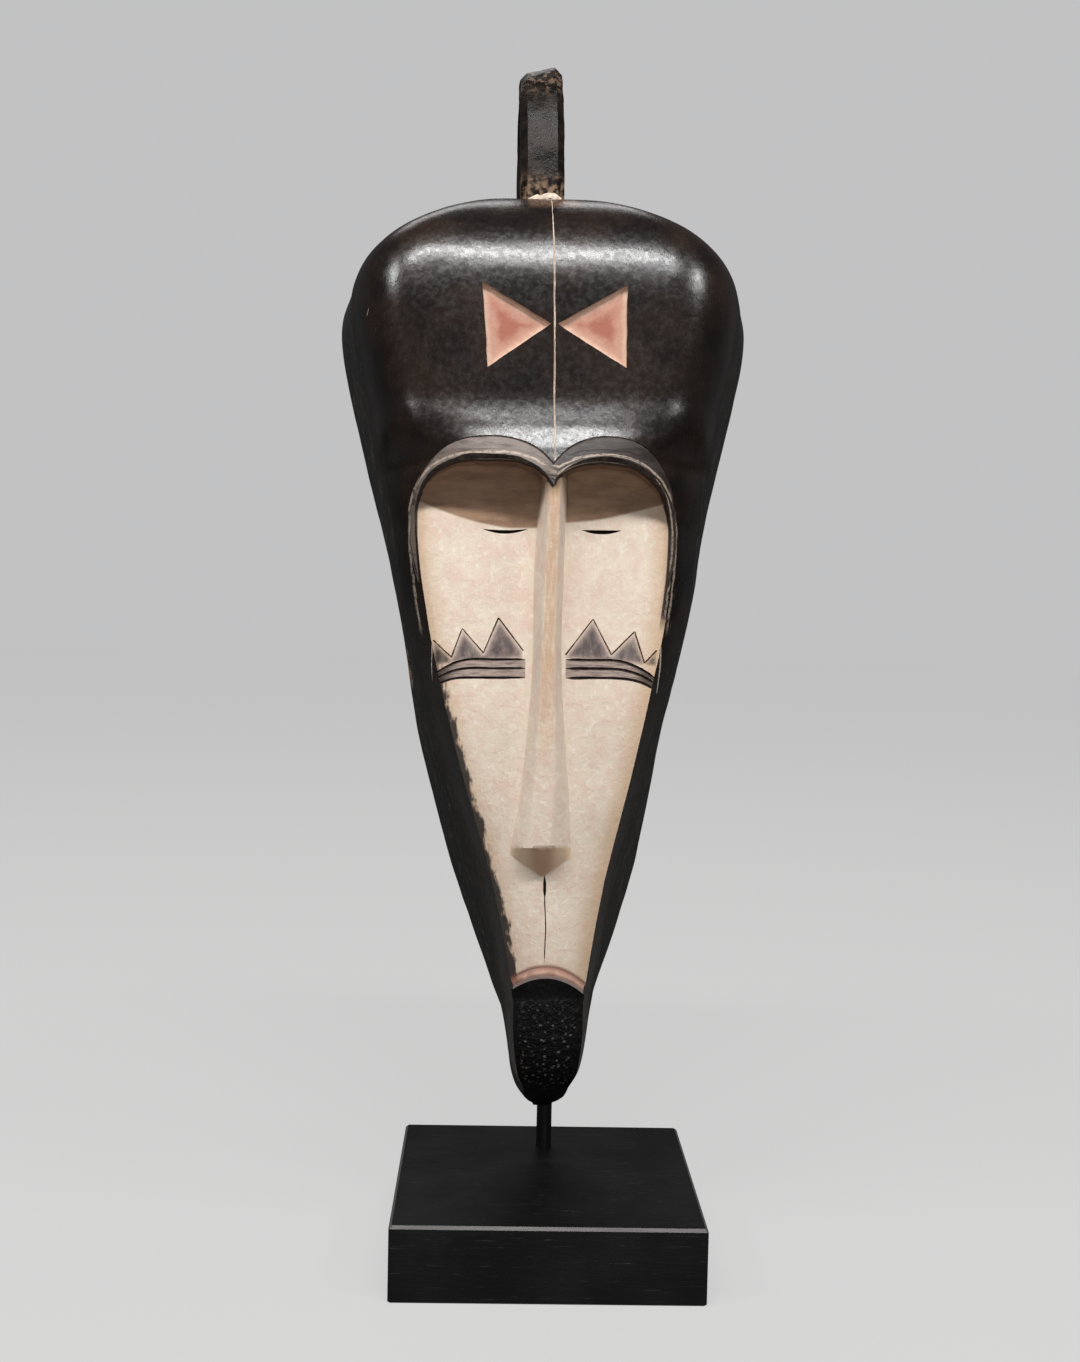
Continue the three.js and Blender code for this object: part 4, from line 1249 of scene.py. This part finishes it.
def stain_markings(p, fibre):
    """Stains the zigzag triangles and the bands, and the worn ridge of the nose."""
    worn = p.level(fibre, 0.25, 0.6, 0.35, 1)
    p.coat(NOSE_RIDGE, p.marked("ridge", -0.8, 0.6), p.upward(150, 230), worn, 0.75)
    zigzag = p.attribute("zigzag")
    patchy = p.level(p.noise((3.5, 3.5, 7), 6, 0.7), 0.3, 0.62, 0.75, 0.97)
    outer = p.level(p.math("ABSOLUTE", p.plus(p.axis(0), 4.0)), 41, 49)
    violet = p.blend(p.level(zigzag, 0.6, 4), *ZIGZAG_VIOLET)
    p.coat(p.blend(outer, violet, OUTER_STAIN), p.level(zigzag, -0.1, 0.5), patchy,
           p.level(zigzag, 0, 2.2, 0.3, 1))
    streaks = p.blend(p.level(p.noise((9, 9, 1.1), 6, 0.65), 0.34, 0.6), *BAND_STREAKS)
    p.coat(p.blend(outer, streaks, OUTER_STAIN), p.marked("bands", -0.4, 0.4), 0.9)


def redden_lip(p):
    """Red-brown lip with a pale rim against the chin."""
    lip = p.attribute("lip")
    red = p.blend(p.level(p.noise(5, 4), 0.35, 0.65), *LIP_RED)
    p.coat(red, p.level(lip, 8, 1.5), 0.85)
    p.coat(LIP_LINE, p.between(lip, (2.8, 5.4), (7.8, 6)), 0.8)
    p.coat(LIP_RIM, p.between(lip, (-0.3, 0.1), (2.2, 1.2)), 0.85)


def wear_brow_wall(p, fine):
    """The rim around the upper face: a thin worn edge over a black strip."""
    behind = p.plus(p.attribute("behind"), p.times(fine, 2.0))
    wall = p.all_of(p.marked("face", 1.3, 0.7), p.upward(236, 250))
    p.coat(RIM_BLACK, p.level(behind, 10.5, 9), wall, 0.95)
    p.coat(RIM_WORN, p.level(behind, 2.2, 1.5), wall, 0.85)


def chin_black():
    """Black granular paint with paler specks, which fade toward the lip as painted shade under it,
    and smooth dark borders.
    """
    p = Paint("mask_chin_black")
    middle = p.marked("chin", 2, 5)
    speck = p.noise(1.1, 3, 0.7)
    spots = p.all_of(p.level(p.cells(2.4), 0.42, 0.2), p.level(p.noise(3.6, 2), 0.42, 0.58))
    # The specks fade toward the lip: painted shade under the lip's overhang
    bright = p.all_of(spots, middle, p.plus(p.upward(60, 22), 0.3))
    p.colour = p.blend(bright, *CHIN_PAINT)
    bumps = [(p.all_of(p.cells(1.3), middle), 0.5), (speck, 0.3)]
    return p.finish(p.level(speck, 0.3, 0.7, 0.4, 0.72), bumps, specular=0.25)


def red_clay():
    """Salmon clay in the sunk triangles, redder in the middle and pale at the edges."""
    p = Paint("mask_red_clay")
    inside = p.attribute("triangle")
    patch = p.noise(7, 5, 0.6)
    fine = p.noise(1.6, 5)
    p.colour = p.blend(p.level(p.plus(inside, p.times(patch, 10.0)), 7.5, 14), *RED_CLAY)
    p.coat(RED_EDGE, p.level(p.plus(inside, p.times(p.noise(3, 4), 3.0)), 5, 1.4), 0.8)
    p.coat(RED_SPECKS, p.level(fine, 0.55, 0.75), 0.4)
    return p.finish(p.level(fine, 0.3, 0.7, 0.62, 0.8), [(patch, 0.3), (fine, 0.2)])


def raw_inside():
    """Brown unpainted wood of the hollow, with gouge marks and grime."""
    p = Paint("mask_raw_inside")
    grain = p.noise((1.4, 1.4, 30), 6, 0.6)
    p.colour = p.blend(p.level(grain, 0.35, 0.68), *RAW_WOOD)
    p.coat(RAW_GRIME, p.level(p.noise(30, 5), 0.4, 0.7, 0.15, 0.75))
    return p.finish(0.72, [(grain, 0.35), (p.noise((7, 7, 18), 3), 0.9), (p.noise(1, 3), 0.08)])


def crest_black():
    """Black crest with a rough chipped top and a brown worn foot."""
    p = Paint("mask_crest_black")
    blotch = p.noise(8, 5, 0.6)
    chips = p.noise(3.2, 5, 0.6)
    p.colour = p.blend(p.level(blotch, 0.4, 0.68), *CREST_PAINT)
    p.coat(CREST_CHIPS, p.upward(508, 530), p.level(chips, 0.52, 0.6), 0.8)
    p.coat(CREST_FOOT_WEAR, p.upward(474, 462), p.level(chips, 0.4, 0.6), 0.7)
    bumps = [(blotch, 0.5), (chips, 0.25), (p.noise(1, 3), 0.04)]
    return p.finish(p.level(blotch, 0.3, 0.7, 0.3, 0.42), bumps, specular=0.16)


def line_fill(name, low, high):
    """The bottom of an incised line."""
    p = Paint(name)
    patch = p.noise(2.5, 4)
    p.colour = p.blend(p.level(patch, 0.35, 0.65), low, high)
    return p.finish(0.75, [(patch, 0.15)])


def satin_black(name, colour, worn, roughness, bevel_paling):
    """Satin black paint with faint brush lines, dust and paler bevels, on a piece in metres."""
    p = Paint(name)
    p.place = p.scaled(p.node("ShaderNodeNewGeometry", {}, "Position"), (MM, MM, MM))
    grain = p.noise((26, 3.0, 3.0), 5, 0.55, 1.2)
    dust = p.noise(1.6, 3, 0.7)
    patch = p.noise(40, 5)
    p.colour = p.blend(p.level(patch, 0.35, 0.7), colour, tuple(1.7 * part for part in colour))
    p.coat(worn, p.level(p.noise((30, 0.9, 0.9), 3, 0.5, 2.0), 0.66, 0.72), 0.35)
    p.coat(worn, p.level(dust, 0.72, 0.76), 0.5)
    # Paler bevels, picked by how far each face is tilted
    if bevel_paling:
        pointing = p.node("ShaderNodeNewGeometry", {}, "True Normal")
        tilted = p.math("ABSOLUTE", p.node("ShaderNodeSeparateXYZ", {0: pointing}, 2))
        p.coat(worn, p.between(tilted, (0.2, 0.4), (0.95, 0.85)), bevel_paling)
    rough = p.level(patch, 0.3, 0.7, roughness - 0.06, roughness + 0.08)
    return p.finish(rough, [(grain, 0.12), (dust, 0.03)], specular=0.28)


def add_camera():
    yaw, pitch, roll = (math.radians(a) for a in (CAMERA_YAW, CAMERA_PITCH, CAMERA_ROLL))
    forward = Vector((-math.sin(yaw) * math.cos(pitch), math.cos(yaw) * math.cos(pitch),
                      -math.sin(pitch)))
    level = Vector((math.cos(yaw), math.sin(yaw), 0))
    upright = level.cross(forward)
    right = level * math.cos(roll) + upright * math.sin(roll)
    up = upright * math.cos(roll) - level * math.sin(roll)
    data = bpy.data.cameras.new("camera")
    data.sensor_width = SENSOR
    data.lens = FOCAL_PIXELS / PICTURE_HEIGHT * SENSOR
    camera = bpy.data.objects.new("camera", data)
    turn = Matrix((right, up, -forward)).transposed().to_4x4()
    camera.matrix_world = Matrix.Translation(Vector(CAMERA_AT) * MM) @ turn
    bpy.context.scene.collection.objects.link(camera)
    bpy.context.scene.camera = camera


def add_light(name, place, size, power):
    data = bpy.data.lights.new(name, "AREA")
    data.shape = "RECTANGLE"
    data.size, data.size_y = size
    data.energy = power
    light = bpy.data.objects.new(name, data)
    light.location = place
    aim = Vector(LIGHTS_AIM) - Vector(place)
    light.rotation_euler = aim.to_track_quat("-Z", "Y").to_euler()
    bpy.context.scene.collection.objects.link(light)


def add_floor():
    """A wide plain floor, whose glow only the camera sees, so that it meets the backdrop."""
    mesh = bpy.data.meshes.new("floor")
    reach = FLOOR_REACH
    corners = [(-reach, -reach, 0), (reach, -reach, 0), (reach, reach, 0), (-reach, reach, 0)]
    mesh.from_pydata(corners, [], [(0, 1, 2, 3)])
    floor = bpy.data.objects.new("floor", mesh)
    bpy.context.scene.collection.objects.link(floor)
    p = Paint("floor_pale")
    seen = p.node("ShaderNodeLightPath", {}, "Is Camera Ray")
    p.put(p.shader.inputs["Base Color"], FLOOR_COLOUR)
    p.put(p.shader.inputs["Roughness"], FLOOR_ROUGHNESS)
    p.put(p.shader.inputs["Emission Color"], (1, 1, 1))
    p.put(p.shader.inputs["Emission Strength"], p.times(seen, FLOOR_GLOW))
    mesh.materials.append(p.material)


def add_world():
    """A dim even room, with a plain pale backdrop where the camera looks past the floor."""
    world = bpy.data.worlds.new("studio")
    world.use_nodes = True
    tree = world.node_tree
    room = tree.nodes["Background"]
    backdrop = tree.nodes.new("ShaderNodeBackground")
    for node, colour, brightness in ((room, ROOM_COLOUR, ROOM_BRIGHTNESS),
                                     (backdrop, BACKDROP_COLOUR, BACKDROP_BRIGHTNESS)):
        node.inputs["Color"].default_value = (*colour, 1)
        node.inputs["Strength"].default_value = brightness
    rays = tree.nodes.new("ShaderNodeLightPath")
    mixer = tree.nodes.new("ShaderNodeMixShader")
    tree.links.new(rays.outputs["Is Camera Ray"], mixer.inputs[0])
    tree.links.new(room.outputs[0], mixer.inputs[1])
    tree.links.new(backdrop.outputs[0], mixer.inputs[2])
    tree.links.new(mixer.outputs[0], tree.nodes["World Output"].inputs["Surface"])
    bpy.context.scene.world = world


add_camera()
add_floor()
add_world()
bpy.context.scene.view_settings.view_transform = "Standard"
for light in LIGHTS:
    add_light(*light)

MASK_MATERIALS = [black_wood(), white_clay(), chin_black(), red_clay(), raw_inside(), crest_black(),
                  *[line_fill(*fill) for fill in LINE_FILLS]]

mask = carve_mask()
write_markings(mask.data)
mask.data.transform(mask_matrix())
mask.data.polygons.foreach_set("use_smooth", np.ones(len(mask.data.polygons), bool))
mask.data.set_sharp_from_angle(angle=SHARP_ANGLE)
mask.name = "mask_carved"
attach(mask, "root")
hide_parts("mask")

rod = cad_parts["stand_rod"]
rod.data.materials.clear()
rod.data.materials.append(satin_black("rod_black_paint", *ROD_PAINT))

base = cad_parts["stand_base"]
base.data.materials.clear()
base.data.materials.append(satin_black("base_black_paint", *BASE_PAINT))
